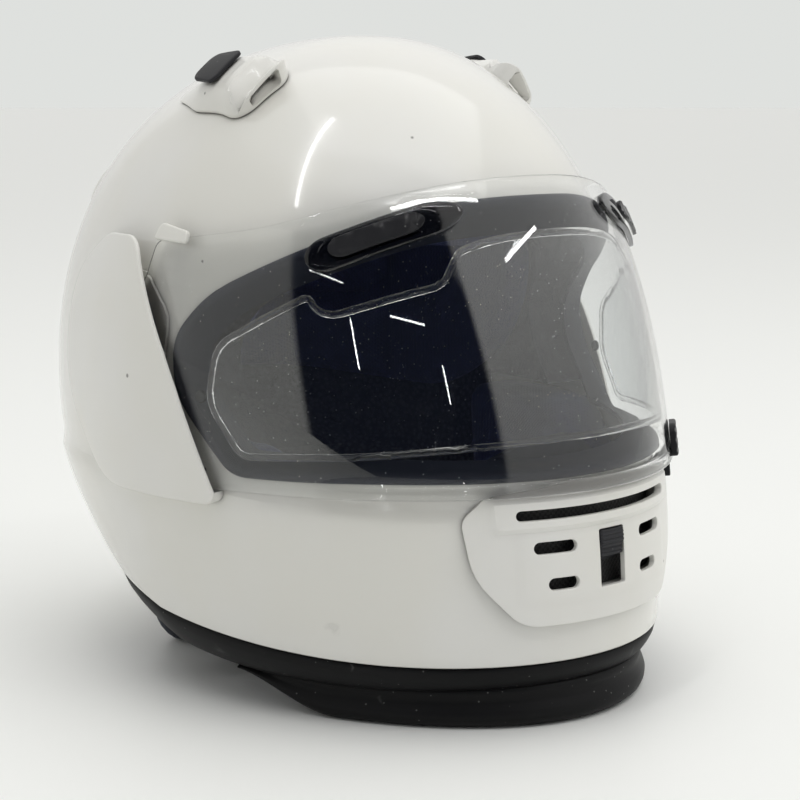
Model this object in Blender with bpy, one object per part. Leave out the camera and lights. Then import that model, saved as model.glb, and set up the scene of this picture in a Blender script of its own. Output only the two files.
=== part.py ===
"""Full face motorcycle helmet as an assembly of separate pieces, in metres, +Z up.

The wearer looks along -Y. The origin is on the floor, under the middle of the helmet.
Every piece that follows the shell is a wall between two lifts over one shared form,
so the pieces keep their clearances when the form changes.
"""
import math

import bmesh
import bpy
from mathutils import Matrix, Vector

# Form of the shell: reach from the middle line to each side, and how it rounds off.
CROWN_Z = 0.286
WIDEST_Y = -0.0055
SIDE_REACH, SIDE_WIDEST_Z, SIDE_UPPER, SIDE_DEPTH, SIDE_LOWER = 0.1244, 0.119, 2.33, 0.2557, 2.22
FRONT_REACH, FRONT_WIDEST_Z, FRONT_UPPER, FRONT_DEPTH, FRONT_LOWER = 0.153, 0.034, 1.99, 0.2668, 2.22
REAR_REACH, REAR_WIDEST_Z, REAR_UPPER, REAR_DEPTH, REAR_LOWER = 0.1676, 0.1318, 2.03, 0.0992, 2.28
FRONT_TUCK_LOW, FRONT_TUCK_HIGH = -0.014, -0.051
REAR_BULGE = 0.046

# Lower edge of the shell above the floor.
EDGE_FRONT_Z, EDGE_SIDE_Z, EDGE_REAR_Z = 0.0285, 0.0376, 0.049
EDGE_SIDE_SLOPE = 0.018

# Walls and clearances.
GAP = 0.0003
FIT = 0.0005
LINER_FIT = 0.0018
PAD_FIT = 0.0013
SHELL_WALL = 0.004
LINER_WALL = 0.026
CHIN_LINER_WALL = 0.018
PAD_WALL = 0.011
SHIELD_WALL = 0.002
SEAT = 0.0005
POD_WALL = 0.0016
PLATE_WALL = 0.0011
GASKET_FIT = 0.0004
GASKET_WALL = 0.0019
GASKET_BORDER = 0.0025
INSERT_WALL = 0.0008
COVER_LIFT = 0.0026

# Shield and its pivot.
PIVOT_Y, PIVOT_Z = 0.007, 0.160
SHIELD_LIFT_FRONT, SHIELD_LIFT_SIDE = 0.007, 0.0050
SHIELD_SIDE_FROM, SHIELD_SIDE_TO = math.radians(48), math.radians(84)
HUB_RADIUS = 0.009
HUB_CLEARANCE = 0.0005
HUB_TOP = -0.0004
TAB_RADIUS = HUB_RADIUS + HUB_CLEARANCE + 0.0053
TAB_REAR_Y, TAB_TOP_Z, TAB_LOW_Z = PIVOT_Y + TAB_RADIUS, PIVOT_Z + TAB_RADIUS, PIVOT_Z - TAB_RADIUS

# Outlines seen from the side as (y, z, corner radius); they run off the front of the shell.
FRONT_LIMIT = -0.21
EYE_PORT = [(FRONT_LIMIT, 0.2175, 0), (-0.108, 0.2155, 0.06), (-0.040, 0.1755, 0.05), (-0.026, 0.158, 0.018),
            (-0.0285, 0.137, 0.03), (-0.056, 0.1065, 0.012), (FRONT_LIMIT, 0.1065, 0)]
SHIELD = [(FRONT_LIMIT, 0.2245, 0), (-0.108, 0.2235, 0.04), (-0.058, 0.204, 0.08), (-0.008, 0.1975, 0.005),
          (-0.004, 0.178, 0.010), (TAB_REAR_Y, TAB_TOP_Z, TAB_RADIUS * 0.95),
          (TAB_REAR_Y, TAB_LOW_Z, TAB_RADIUS * 0.95), (-0.012, TAB_LOW_Z, 0.012),
          (-0.047, 0.0985, 0.006), (FRONT_LIMIT, 0.0985, 0)]
INSERT = [(FRONT_LIMIT, 0.2035, 0), (-0.118, 0.202, 0.012), (-0.111, 0.196, 0.004), (-0.112, 0.183, 0.004),
          (-0.084, 0.1705, 0.007), (-0.078, 0.1795, 0.003), (-0.046, 0.158, 0.014), (-0.0435, 0.134, 0.02),
          (-0.060, 0.1115, 0.010), (-0.104, 0.114, 0.08), (-0.150, 0.1195, 0.05), (FRONT_LIMIT, 0.1195, 0)]
POD = [(0.002, 0.198, 0.013), (-0.0285, 0.146, 0.15), (-0.053, 0.0925, 0.004), (0.020, 0.0925, 0.05),
       (0.074, 0.128, 0.04), (0.070, 0.180, 0.035), (0.030, 0.1985, 0.03)]
POD_POCKET = [(0.012, 0.230, 0), (-0.070, 0.150, 0), (-0.070, 0.0975, 0), (0.022, 0.0975, 0.01),
              (0.042, 0.122, 0.02), (0.042, 0.230, 0)]
PLATE = [(-0.020, 0.168, 0.012), (-0.016, 0.118, 0.012), (0.026, 0.114, 0.014), (0.034, 0.182, 0.012),
         (0.000, 0.186, 0.012)]
PLATE_SCREWS = [(0.020, 0.128), (0.026, 0.174)]
SCREW_RADIUS, SCREW_HEAD = 0.0035, 0.0014
CHEEK = [(-0.082, 0.052, 0.012), (0.020, 0.052, 0.015), (0.026, 0.116, 0.012), (-0.060, 0.116, 0.02),
         (-0.082, 0.092, 0.012)]
LINER_LOW_Z = 0.060
PAD_RIM_FRONT_Z, PAD_RIM_REAR_Z = 0.215, 0.110
PAD_RIM_FROM, PAD_RIM_TO = math.radians(50), math.radians(110)
CHEEK_WALL = 0.034
CHEEK_ROOM = 0.004
POD_LIFT_FRONT, POD_LIFT_REAR = 0.0094, 0.0016
POD_LIFT_FROM_Y, POD_LIFT_TO_Y = -0.005, 0.074
INSERT_PIN_Y, INSERT_PIN_Z, INSERT_PIN_RADIUS, PIN_DROP = -0.0405, 0.136, 0.0022, 0.0005
CORNER_RIB = [(-0.027, 0.1965, 0.001), (-0.0262, 0.2015, 0.002), (-0.011, 0.2045, 0.003),
              (-0.0085, 0.1975, 0.001)]
CORNER_RIB_WALL = 0.0022

# Brow vents on the shield: middle, direction and size seen from the side.
BROW_Y, BROW_Z, BROW_SLOPE = -0.0905, 0.1995, math.radians(-31)
BROW_HALF_LENGTH, BROW_HALF_WIDTH, BROW_WALL = 0.0185, 0.0068, 0.0022
BROW_SHUTTER_HALF_LENGTH, BROW_SHUTTER_HALF_WIDTH, BROW_SHUTTER_WALL = 0.0115, 0.0042, 0.0014
SLIDE_ROOM = 0.0010

# Chin vent seen from the front, one half as (x, z, corner radius).
CHIN_COVER = [(0.018, 0.1030, 0.030), (0.051, 0.0998, 0.008), (0.0605, 0.090, 0.008), (0.0575, 0.066, 0.03),
              (0.041, 0.0455, 0.015)]
CHIN_WINDOW = (0.046, 0.0575, 0.0955)
CHIN_WINDOW_CORNER = 0.005
LONG_SLOT = (0.042, 0.091, 0.0042)
SHORT_SLOTS = [(0.018, 0.036, 0.0775, 0.0050), (0.0176, 0.0308, 0.0625, 0.0050)]
TOGGLE_SLOT = (0.0069, 0.0585, 0.0822)
TOGGLE_HEIGHT = 0.0112
TOGGLE_FLANGE, TOGGLE_FLANGE_WALL, TOGGLE_BACK, TOGGLE_PROUD = 0.0022, 0.0013, -0.0022, 0.0012
MESH_WALL = 0.001

# Lock lever at the lower edge of the shield, and its catch, on the wearer's left.
LOCK_X, LOCK_HALF_WIDTH, LOCK_LOW_Z, LOCK_HIGH_Z = 0.068, 0.0075, 0.0995, 0.1135
LOCK_WALL, LOCK_CORNER = 0.003, 0.002
CATCH_LOW_Z, CATCH_HIGH_Z, CATCH_HALF_WIDTH, CATCH_LIFT = 0.0905, 0.0968, 0.0045, 0.006
CATCH_CORNER = 0.001

# Top ducts seen from above, on the wearer's left, as (x, y, corner radius).
DUCT = [(0.060, -0.032, 0.007), (0.087, -0.026, 0.010), (0.085, 0.010, 0.03), (0.0755, 0.038, 0.003),
        (0.059, 0.006, 0.03)]
DUCT_MOUTH = [(0.0655, -0.045, 0), (0.0800, -0.045, 0), (0.0805, -0.012, 0.004), (0.0650, -0.012, 0.004)]
DUCT_LIFT_FRONT, DUCT_LIFT_REAR = 0.0092, 0.0012
DUCT_FRONT_Y, DUCT_REAR_Y = -0.004, 0.036
DUCT_FLOOR, DUCT_ROOF = 0.0012, 0.0018
DUCT_SHUTTER = [(0.0650, -0.006, 0.003), (0.0805, -0.006, 0.003), (0.0785, 0.011, 0.004),
                (0.0665, 0.011, 0.004)]
DUCT_SHUTTER_WALL = 0.0015

# Rear outlets seen from behind, on the wearer's left, as (x, z, corner radius).
OUTLET = [(0.026, 0.236, 0.006), (0.052, 0.232, 0.008), (0.060, 0.200, 0.012), (0.045, 0.182, 0.006),
          (0.031, 0.196, 0.012)]
OUTLET_MOUTH = [(0.034, 0.206, 0.003), (0.055, 0.203, 0.003), (0.050, 0.150, 0), (0.030, 0.150, 0)]
OUTLET_LIFT, OUTLET_EDGE, OUTLET_TOP_Z, OUTLET_RAMP = 0.0075, 0.0021, 0.242, 0.034
OUTLET_SEAT, OUTLET_ROOF, OUTLET_FLOOR = 0.0009, 0.0020, 0.0012

# Black band, skirt and roll under the shell.
TRIM_HEIGHT_SIDE, TRIM_HEIGHT_FRONT = 0.0175, 0.0112
TRIM_WALL, TRIM_TOP_INSET = 0.005, 0.0008
TRIM_INSET_SIDE, TRIM_INSET_FRONT = 0.0115, 0.0055
SKIRT_HALF_ANGLE = math.radians(76)
SKIRT_INSET_SIDE, SKIRT_INSET_FRONT = 0.0150, 0.0045
SKIRT_WIDTH, SKIRT_STEPS = 0.017, 22
ROLL_HALF_ANGLE = math.radians(62)
ROLL_INSET, ROLL_WIDTH, ROLL_STEPS = 0.001, 0.032, 18

# Chin strap: routes as (distance inwards from the anchor, height).
STRAP_WIDTH, STRAP_WALL = 0.022, 0.0022
STRAP_Y, STRAP_TOP_Z = -0.004, 0.046
STRAP_ROUTE = [(0.0, STRAP_TOP_Z), (0.0145, STRAP_TOP_Z), (0.0245, 0.0410), (0.0290, 0.0340)]
LONG_STRAP_ROUTE = STRAP_ROUTE + [(0.0315, 0.0200), (0.0365, 0.0080), (0.0465, 0.0030), (0.0705, 0.0025),
                                  (0.1005, 0.0025)]
RING_WIRE, RING_DROP, RING_SPACING, RING_TAPER = 0.0015, 0.0180, 0.0042, 0.8
RING_TOP_CORNER, RING_LOW_CORNER = 0.003, 0.0075
RING_ROOM, RING_SIDE_ROOM = 0.0005, 0.001
ANCHOR_RADIUS, ANCHOR_LENGTH = 0.006, 0.004

# Thin guard over the nose, one half as seen from the front.
BREATH_GUARD = [(0.032, 0.084, 0.004), (0.036, 0.106, 0.008), (0.012, 0.116, 0.008)]
BREATH_GUARD_WALL, BREATH_GUARD_GAP = 0.002, 0.0012

# Foam block in the chin bar: half width in front view, lower and upper end.
CHIN_LINER_HALF, CHIN_LINER_LOW_Z, CHIN_LINER_HIGH_Z = 0.072, 0.040, 0.099

# Facets.
COLUMNS, ROWS = 40, 11
ROW_CROWDING = 0.5
PHI_STEP, Z_STEP = math.radians(7.2), 0.018
ARC_STEP = math.radians(30)
TOP_STEP = 0.0055
FAR = 0.3
SIDES = (("left", 1), ("right", -1))

GLOSS_WHITE = ((0.80, 0.80, 0.77, 1), 0.12, 0.0)
BLACK_RUBBER = ((0.018, 0.018, 0.020, 1), 0.55, 0.0)
NAVY_CLOTH = ((0.012, 0.014, 0.035, 1), 0.85, 0.0)
FOAM = ((0.05, 0.05, 0.055, 1), 0.8, 0.0)
CLEAR = ((0.75, 0.78, 0.80, 1), 0.03, 0.0)
SMOKE = ((0.10, 0.10, 0.11, 1), 0.10, 0.0)
GREY_PLASTIC = ((0.09, 0.09, 0.095, 1), 0.45, 0.0)
STEEL = ((0.62, 0.62, 0.63, 1), 0.28, 1.0)

# How an outline is seen: the axis it runs along and how far.
VIEWS = {"side": (0, 0.0, FAR), "sides": (0, -FAR, FAR), "front": (1, -FAR, -0.05), "rear": (1, 0.05, FAR),
         "top": (2, 0.15, CROWN_Z + 0.05)}


def reach(z, full, widest, upper, depth, lower):
    """Reach of the shell at height z: an upper and a lower superellipse arc."""
    if z > widest:
        share = min((z - widest) / (CROWN_Z - widest), 1.0)
        return full * (1.0 - share ** upper) ** (1.0 / upper)
    share = (widest - z) / depth
    return full * (1.0 - share ** lower) ** (1.0 / lower)


def form(phi, z):
    """Point of the bare form at angle phi, 0 at the front and positive to the wearer's left."""
    side = reach(z, SIDE_REACH, SIDE_WIDEST_Z, SIDE_UPPER, SIDE_DEPTH, SIDE_LOWER)
    tuck = FRONT_TUCK_LOW + (FRONT_TUCK_HIGH - FRONT_TUCK_LOW) * z / CROWN_Z
    along = reach(z, FRONT_REACH, FRONT_WIDEST_Z, FRONT_UPPER, FRONT_DEPTH, FRONT_LOWER)
    if math.cos(phi) < 0:
        tuck = REAR_BULGE
        along = reach(z, REAR_REACH, REAR_WIDEST_Z, REAR_UPPER, REAR_DEPTH, REAR_LOWER)
    swell = 1.0 + tuck * math.sin(2 * phi) ** 2
    return Vector((side * math.sin(phi) * swell, WIDEST_Y - along * math.cos(phi) * swell, z))


def outward(phi, z):
    """Unit normal of the form."""
    if z > CROWN_Z - 0.0004:
        return Vector((0, 0, 1))
    turn = form(phi + 0.002, z) - form(phi - 0.002, z)
    rise = form(phi, z + 0.0002) - form(phi, z - 0.0002)
    return turn.cross(rise).normalized()


def skin(phi, z, lift):
    """Point that stands a lift over the form; a negative lift is inside it."""
    return form(phi, z) + outward(phi, z) * lift


def below(phi, z, lift):
    """Point under the shell's lower edge, a lift outside the edge's outline in plan."""
    height = edge_z(phi)
    side = outward(phi, height)
    side.z = 0.0
    place = form(phi, height) + side.normalized() * lift
    place.z = z
    return place


def blend(value, low, high):
    """Smooth step from 0 at low to 1 at high."""
    share = min(max((value - low) / (high - low), 0.0), 1.0)
    return share * share * (3.0 - 2.0 * share)


def edge_z(phi):
    """Height of the shell's lower edge: low in front, high behind."""
    ahead = math.cos(phi)
    even = (EDGE_FRONT_Z + EDGE_REAR_Z) / 2 - EDGE_SIDE_Z
    odd = (EDGE_FRONT_Z - EDGE_REAR_Z) / 2 + EDGE_SIDE_SLOPE
    return EDGE_SIDE_Z - EDGE_SIDE_SLOPE * ahead + even * ahead ** 2 + odd * ahead ** 3


def rounded(corners, step=ARC_STEP):
    """Closed outline through corners given as (a, b, radius)."""
    points = []
    for index, (a, b, radius) in enumerate(corners):
        here = Vector((a, b))
        if radius == 0:
            points.append(here)
            continue
        before = (Vector(corners[index - 1][:2]) - here).normalized()
        after = (Vector(corners[(index + 1) % len(corners)][:2]) - here).normalized()
        half = before.angle(after) / 2
        centre = here + (before + after).normalized() * (radius / math.sin(half))
        start = here + before * (radius / math.tan(half)) - centre
        end = here + after * (radius / math.tan(half)) - centre
        turn = start.angle_signed(end)
        count = max(1, math.ceil(abs(turn) / step))
        for part in range(count + 1):
            spoke = start.copy()
            spoke.rotate(Matrix.Rotation(-turn * part / count, 2))
            points.append(centre + spoke)
    return points


def grown(points, distance):
    """The same outline moved outwards by a distance."""
    area = sum(p.x * q.y - q.x * p.y for p, q in zip(points, points[1:] + points[:1]))
    sign = 1 if area > 0 else -1
    moved = []
    for index, point in enumerate(points):
        before = (point - points[index - 1]).normalized()
        after = (points[(index + 1) % len(points)] - point).normalized()
        side = Vector((before.y, -before.x)) + Vector((after.y, -after.x))
        moved.append(point + sign * distance * side * 2 / side.length_squared)
    return moved


def stadium(a, b, half_length, half_width, slope):
    """Bar outline with round ends, turned by slope."""
    corners = [(-half_length, -half_width), (half_length, -half_width), (half_length, half_width),
               (-half_length, half_width)]
    turned = []
    for u, v in corners:
        turned.append((a + u * math.cos(slope) - v * math.sin(slope),
                       b + u * math.sin(slope) + v * math.cos(slope), half_width * 0.99))
    return turned


def material(name, look):
    """Principled material with a colour, a roughness and a metallic value."""
    made = bpy.data.materials.new(name)
    made.use_nodes = True
    shader = made.node_tree.nodes["Principled BSDF"]
    shader.inputs["Base Color"].default_value = look[0]
    shader.inputs["Roughness"].default_value = look[1]
    shader.inputs["Metallic"].default_value = look[2]
    made.diffuse_color = look[0]
    return made


def add_object(name, bm, group, look=None):
    """Object from a finished bmesh, in a group, with its own material."""
    mesh = bpy.data.meshes.new(name)
    bm.to_mesh(mesh)
    bm.free()
    made = bpy.data.objects.new(name, mesh)
    group.objects.link(made)
    if look:
        mesh.materials.append(material(name, look))
        mesh.shade_smooth()
        mesh.set_sharp_from_angle(angle=math.radians(35))
    else:
        made.hide_render = True
        made.display_type = "WIRE"
    return made


def close(bm):
    """Merge doubled points and face everything outwards."""
    bmesh.ops.remove_doubles(bm, verts=bm.verts, dist=1e-6)
    bmesh.ops.recalc_face_normals(bm, faces=bm.faces)
    return bm


def mirrored(bm, side):
    """The piece on the wearer's left (side 1) or its mirror on the right (side -1)."""
    if side < 0:
        bmesh.ops.scale(bm, vec=(-1, 1, 1), verts=bm.verts)
        bmesh.ops.reverse_faces(bm, faces=bm.faces)
    return bm


def constant(value):
    """A lift that is the same everywhere."""
    return lambda phi, z: value


def seen_angle(point, view):
    """Angle at which the form passes through a point of a side, front or rear view."""
    near, far = {"front": (0.0, math.pi / 2), "rear": (math.pi, math.pi / 2)}.get(view, (0.0, math.pi))
    along_side = VIEWS[view][0] == 0
    for _ in range(40):
        middle = (near + far) / 2
        at = form(middle, point[1])
        short = at.y < point[0] if along_side else at.x < abs(point[0])
        near, far = (middle, far) if short else (near, middle)
    return near if along_side else math.copysign(near, point[0])


def plan_point(x, y):
    """Angle and height of the form's point above a place in plan."""
    phi = math.atan2(x, WIDEST_Y - y)
    low, high = SIDE_WIDEST_Z, CROWN_Z
    for _ in range(50):
        z = (low + high) / 2
        at = form(phi, z)
        phi += math.atan2(x, WIDEST_Y - y) - math.atan2(at.x, WIDEST_Y - at.y)
        at = form(phi, z)
        if math.hypot(at.x, at.y - WIDEST_Y) > math.hypot(x, y - WIDEST_Y):
            low = z
        else:
            high = z
    return phi, (low + high) / 2


def grid_wall(cells, place, lift_in, lift_out):
    """Closed wall from a grid: place(u, v) gives each point's angle and height, u and v run from 0 to 1."""
    bm = bmesh.new()
    bmesh.ops.create_grid(bm, x_segments=cells[0], y_segments=cells[1], size=0.5)
    outer = set(bm.verts)
    bmesh.ops.extrude_face_region(bm, geom=bm.faces[:])
    for vert in bm.verts:
        phi, z = place(vert.co.x + 0.5, vert.co.y + 0.5)
        lift = lift_out if vert in outer else lift_in
        vert.co = skin(phi, z, lift(phi, z))
    return close(bm)


def side_wall(outline, view, lift_in, lift_out):
    """Wall over the form, wide enough for an outline seen from the side, the front or behind.

    It is widened to whole cells of one grid, so that the facets of walls on walls run parallel.
    """
    angles = [seen_angle(point, view) for point in outline]
    first = -max(angles) if view == "sides" else min(angles)
    start = math.floor(first / PHI_STEP - 0.3)
    across = math.ceil(max(angles) / PHI_STEP + 0.3) - start
    heights = [point[1] for point in outline]
    foot = math.floor(min(heights) / Z_STEP)
    up = math.ceil(max(heights) / Z_STEP) - foot

    def place(u, v):
        return PHI_STEP * (start + across * u), Z_STEP * (foot + up * v)

    return grid_wall((across, up), place, lift_in, lift_out)


def top_wall(outline, lift_in, lift_out):
    """Wall over the crown, laid out in plan around an outline."""
    lows = [min(point[axis] for point in outline) - 0.002 for axis in (0, 1)]
    sizes = [max(point[axis] for point in outline) + 0.002 - lows[axis] for axis in (0, 1)]
    cells = [math.ceil(size / TOP_STEP) for size in sizes]
    return grid_wall(cells, lambda u, v: plan_point(lows[0] + sizes[0] * u, lows[1] + sizes[1] * v),
                     lift_in, lift_out)


def cup(lift_in, lift_out, rim_z, columns=COLUMNS, rows=ROWS):
    """Closed dome between two constant lifts, from the crown down to a rim."""
    bm = bmesh.new()
    bmesh.ops.create_uvsphere(bm, u_segments=columns, v_segments=2 * rows, radius=1.0)
    low = [vert for vert in bm.verts if vert.co.z < -1e-4]
    bmesh.ops.delete(bm, geom=low, context="VERTS")
    outer = set(bm.verts)
    bmesh.ops.extrude_face_region(bm, geom=bm.faces[:])
    for vert in bm.verts:
        phi = math.atan2(vert.co.x, -vert.co.y)
        rim = rim_z(phi)
        rise = min(vert.co.z, 1.0)
        z = rim + (CROWN_Z - rim) * rise * (1.0 + ROW_CROWDING * (rise - 1.0))
        vert.co = skin(phi, z, lift_out if vert in outer else lift_in)
    return close(bm)


def swept(section, phi_range, steps, closed):
    """Closed band under the shell's edge: section(phi) gives its corners as (z, lift) pairs."""
    bm = bmesh.new()
    loops = []
    for step in range(steps if closed else steps + 1):
        phi = phi_range[0] + (phi_range[1] - phi_range[0]) * step / steps
        loops.append([bm.verts.new(below(phi, z, lift)) for z, lift in section(phi)])
    edges = []
    for loop in loops:
        edges.append([bm.edges.new((loop[i], loop[(i + 1) % len(loop)])) for i in range(len(loop))])
    pairs = list(zip(edges, edges[1:] + edges[:1])) if closed else list(zip(edges, edges[1:]))
    for first, second in pairs:
        bmesh.ops.bridge_loops(bm, edges=first + second)
    if not closed:
        bm.faces.new(loops[0])
        bm.faces.new(loops[-1])
    return close(bm)


def prism(points, axis, low, high):
    """Solid with a flat outline, run along axis 0, 1 or 2 from low to high."""
    bm = bmesh.new()
    first, second = [other for other in range(3) if other != axis]
    ring = []
    for point in points:
        place = [0.0, 0.0, 0.0]
        place[first], place[second], place[axis] = point[0], point[1], low
        ring.append(bm.verts.new(place))
    face = bm.faces.new(ring)
    extruded = bmesh.ops.extrude_face_region(bm, geom=[face])
    along = Vector([high - low if other == axis else 0.0 for other in range(3)])
    moved = [item for item in extruded["geom"] if isinstance(item, bmesh.types.BMVert)]
    bmesh.ops.translate(bm, vec=along, verts=moved)
    return close(bm)


def view_prism(outline, view):
    """Solid behind an outline in a view."""
    axis, low, high = VIEWS[view]
    return prism(outline, axis, low, high)


def cylinder(radius, depth, centre, direction, sides=16):
    """Solid cylinder about a centre, along a direction."""
    bm = bmesh.new()
    bmesh.ops.create_cone(bm, cap_ends=True, segments=sides, radius1=radius, radius2=radius, depth=depth)
    turn = Vector((0, 0, 1)).rotation_difference(Vector(direction)).to_matrix()
    bmesh.ops.rotate(bm, cent=(0, 0, 0), matrix=turn, verts=bm.verts)
    bmesh.ops.translate(bm, vec=centre, verts=bm.verts)
    return close(bm)


def box_outline(low_a, high_a, low_b, high_b, radius=0.0):
    """Rectangle, with rounded corners where a radius is given."""
    corners = [(low_a, low_b), (high_a, low_b), (high_a, high_b), (low_a, high_b)]
    return rounded([(a, b, radius) for a, b in corners])


def whole(corners):
    """Corners of a symmetric outline from those on its positive side."""
    return corners + [(-a, b, radius) for a, b, radius in reversed(corners)]


class Helmet:
    """Collects the pieces and their cutters."""

    def __init__(self):
        self.parts = bpy.data.collections.new("motorcycle_helmet")
        self.cutters = bpy.data.collections.new("cutters")
        bpy.context.scene.collection.children.link(self.parts)
        bpy.context.scene.collection.children.link(self.cutters)

    def piece(self, name, bm, look):
        return add_object(name, bm, self.parts, look)

    def combine(self, piece, tool, operation):
        change = piece.modifiers.new(operation.lower(), "BOOLEAN")
        change.operation = operation
        change.solver = "EXACT"
        change.object = tool

    def cut(self, piece, bm, operation="DIFFERENCE"):
        """Cut, trim or join with another solid."""
        self.combine(piece, add_object(piece.name + "_tool", bm, self.cutters), operation)

    def wall(self, outline, view, lift_in, lift_out):
        if view == "top":
            return top_wall(outline, lift_in, lift_out)
        return side_wall(outline, view, lift_in, lift_out)

    def panel(self, name, outline, view, lifts, look, side=1):
        """Piece that follows the form between two lifts, trimmed to an outline in a view."""
        piece = self.piece(name, mirrored(self.wall(outline, view, *lifts), side), look)
        self.cut(piece, mirrored(view_prism(outline, view), side), "INTERSECT")
        return piece

    def hollow(self, piece, outline, view, lifts, side=1):
        """Cut a pocket that follows the form out of a piece."""
        wall, edge = self.wall(outline, view, *lifts), view_prism(outline, view)
        tool = add_object(piece.name + "_pocket", mirrored(wall, side), self.cutters)
        edge = add_object(piece.name + "_pocket_edge", mirrored(edge, side), self.cutters)
        self.combine(tool, edge, "INTERSECT")
        self.combine(piece, tool, "DIFFERENCE")

    def pivot(self, name, place, pieces):
        """Empty on a joint's axis that carries the pieces which move about it."""
        made = bpy.data.objects.new(name, None)
        made.empty_display_size = 0.02
        self.parts.objects.link(made)
        made.location = place
        for piece in pieces:
            piece.parent = made
            piece.matrix_parent_inverse = Matrix.Translation(-Vector(place))


def shield_lift(phi, z):
    """Lift of the shield's outer face: it stands further off the shell in front."""
    share = blend(abs(phi), SHIELD_SIDE_FROM, SHIELD_SIDE_TO)
    return SHIELD_LIFT_FRONT + (SHIELD_LIFT_SIDE - SHIELD_LIFT_FRONT) * share


def above_shield(rise):
    """Lift that keeps a constant rise over the shield's outer face."""
    return lambda phi, z: shield_lift(phi, z) + rise


def outer_shell(helmet):
    """Painted shell with the eye port and the chin vent window cut through."""
    shell = helmet.piece("outer_shell", cup(-SHELL_WALL, 0.0, edge_z), GLOSS_WHITE)
    helmet.cut(shell, view_prism(rounded(EYE_PORT), "sides"))
    helmet.cut(shell, view_prism(chin_window(0.0), "front"))


def chin_window(inset):
    """Outline of the opening behind the chin vent."""
    half, low, high = CHIN_WINDOW
    return box_outline(inset - half, half - inset, low + inset, high - inset, CHIN_WINDOW_CORNER)


def eyeport_gasket(helmet):
    """Rubber frame around the eye port, under the shield."""
    outline = grown(rounded(EYE_PORT), GASKET_BORDER)
    lifts = (constant(GASKET_FIT), constant(GASKET_FIT + GASKET_WALL))
    gasket = helmet.panel("eyeport_gasket", outline, "sides", lifts, BLACK_RUBBER)
    helmet.cut(gasket, prism(rounded(EYE_PORT), 0, -FAR - 0.01, FAR + 0.01))


def impact_liner(helmet):
    """Foam liner inside the shell, open at the face and over the cheeks."""
    depth = SHELL_WALL + LINER_FIT
    liner = helmet.piece("impact_liner", cup(-depth - LINER_WALL, -depth, edge_z), FOAM)
    helmet.cut(liner, prism(box_outline(-FAR, FAR, -FAR, FAR), 2, 0.0, LINER_LOW_Z))
    helmet.cut(liner, view_prism(grown(rounded(EYE_PORT), LINER_FIT), "sides"))
    rear, top = max(y for y, z, r in CHEEK) + CHEEK_ROOM, max(z for y, z, r in CHEEK) + CHEEK_ROOM
    helmet.cut(liner, view_prism(box_outline(FRONT_LIMIT, rear, 0.0, top), "sides"))


def chin_liner(helmet):
    """Foam block inside the chin bar."""
    depth = SHELL_WALL + LINER_FIT
    outline = box_outline(-CHIN_LINER_HALF, CHIN_LINER_HALF, CHIN_LINER_LOW_Z, CHIN_LINER_HIGH_Z)
    helmet.panel("chin_liner", outline, "front", (constant(-depth - CHIN_LINER_WALL), constant(-depth)), FOAM)


def crown_pad(helmet):
    """Comfort lining of the crown."""
    depth = SHELL_WALL + LINER_FIT + LINER_WALL + PAD_FIT
    helmet.piece("crown_pad", cup(-depth - PAD_WALL, -depth, crown_pad_rim, columns=24, rows=7), NAVY_CLOTH)


def crown_pad_rim(phi):
    """The lining is cut high over the face and low behind."""
    return PAD_RIM_FRONT_Z + (PAD_RIM_REAR_Z - PAD_RIM_FRONT_Z) * blend(abs(phi), PAD_RIM_FROM, PAD_RIM_TO)


def cheek_pad(helmet, label, side):
    """Soft pad beside the cheek."""
    depth = SHELL_WALL + LINER_FIT
    lifts = (constant(-depth - CHEEK_WALL), constant(-depth - GAP))
    helmet.panel("cheek_pad_" + label, rounded(CHEEK), "side", lifts, NAVY_CLOTH, side)


def trim_bottom(phi):
    """Height of the black band's lower edge."""
    ahead = max(math.cos(phi), 0.0)
    return edge_z(phi) - TRIM_HEIGHT_SIDE + (TRIM_HEIGHT_SIDE - TRIM_HEIGHT_FRONT) * blend(ahead, 0.0, 1.0)


def trim_inset(phi):
    """How far the band's lower edge stands inside the form."""
    ahead = blend(max(math.cos(phi), 0.0), 0.0, 1.0)
    return TRIM_INSET_SIDE + (TRIM_INSET_FRONT - TRIM_INSET_SIDE) * ahead


def lower_edge_trim(helmet):
    """Black rubber band that carries on from the shell's lower edge."""
    def section(phi):
        top, bottom, inset = edge_z(phi) - GAP, trim_bottom(phi), trim_inset(phi)
        return [(top, -TRIM_TOP_INSET), (bottom, -inset), (bottom, -inset - TRIM_WALL),
                (top, -TRIM_TOP_INSET - TRIM_WALL)]
    helmet.piece("lower_edge_trim", swept(section, (0, 2 * math.pi), COLUMNS, True), BLACK_RUBBER)


def roll_section(top, inset, width, sides=12):
    """Round cross-section of a soft roll from the floor up, flat where it meets the floor."""
    corners = []
    for index in range(sides):
        angle = 2 * math.pi * (index + 0.5) / sides
        height = top / 2 * (1.0 + math.sin(angle) / math.cos(math.pi / sides))
        corners.append((height, -inset - width / 2 + width / 2 * math.cos(angle)))
    return corners


def chin_skirt(helmet):
    """Soft black roll under the chin bar, from cheek to cheek, that stands on the floor."""
    def section(phi):
        share = blend(abs(phi), 0.0, SKIRT_HALF_ANGLE)
        inset = SKIRT_INSET_FRONT + (SKIRT_INSET_SIDE - SKIRT_INSET_FRONT) * share
        return roll_section(trim_bottom(phi) - GAP, inset, SKIRT_WIDTH)
    wall = swept(section, (-SKIRT_HALF_ANGLE, SKIRT_HALF_ANGLE), SKIRT_STEPS, False)
    helmet.piece("chin_skirt", wall, BLACK_RUBBER)


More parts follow.
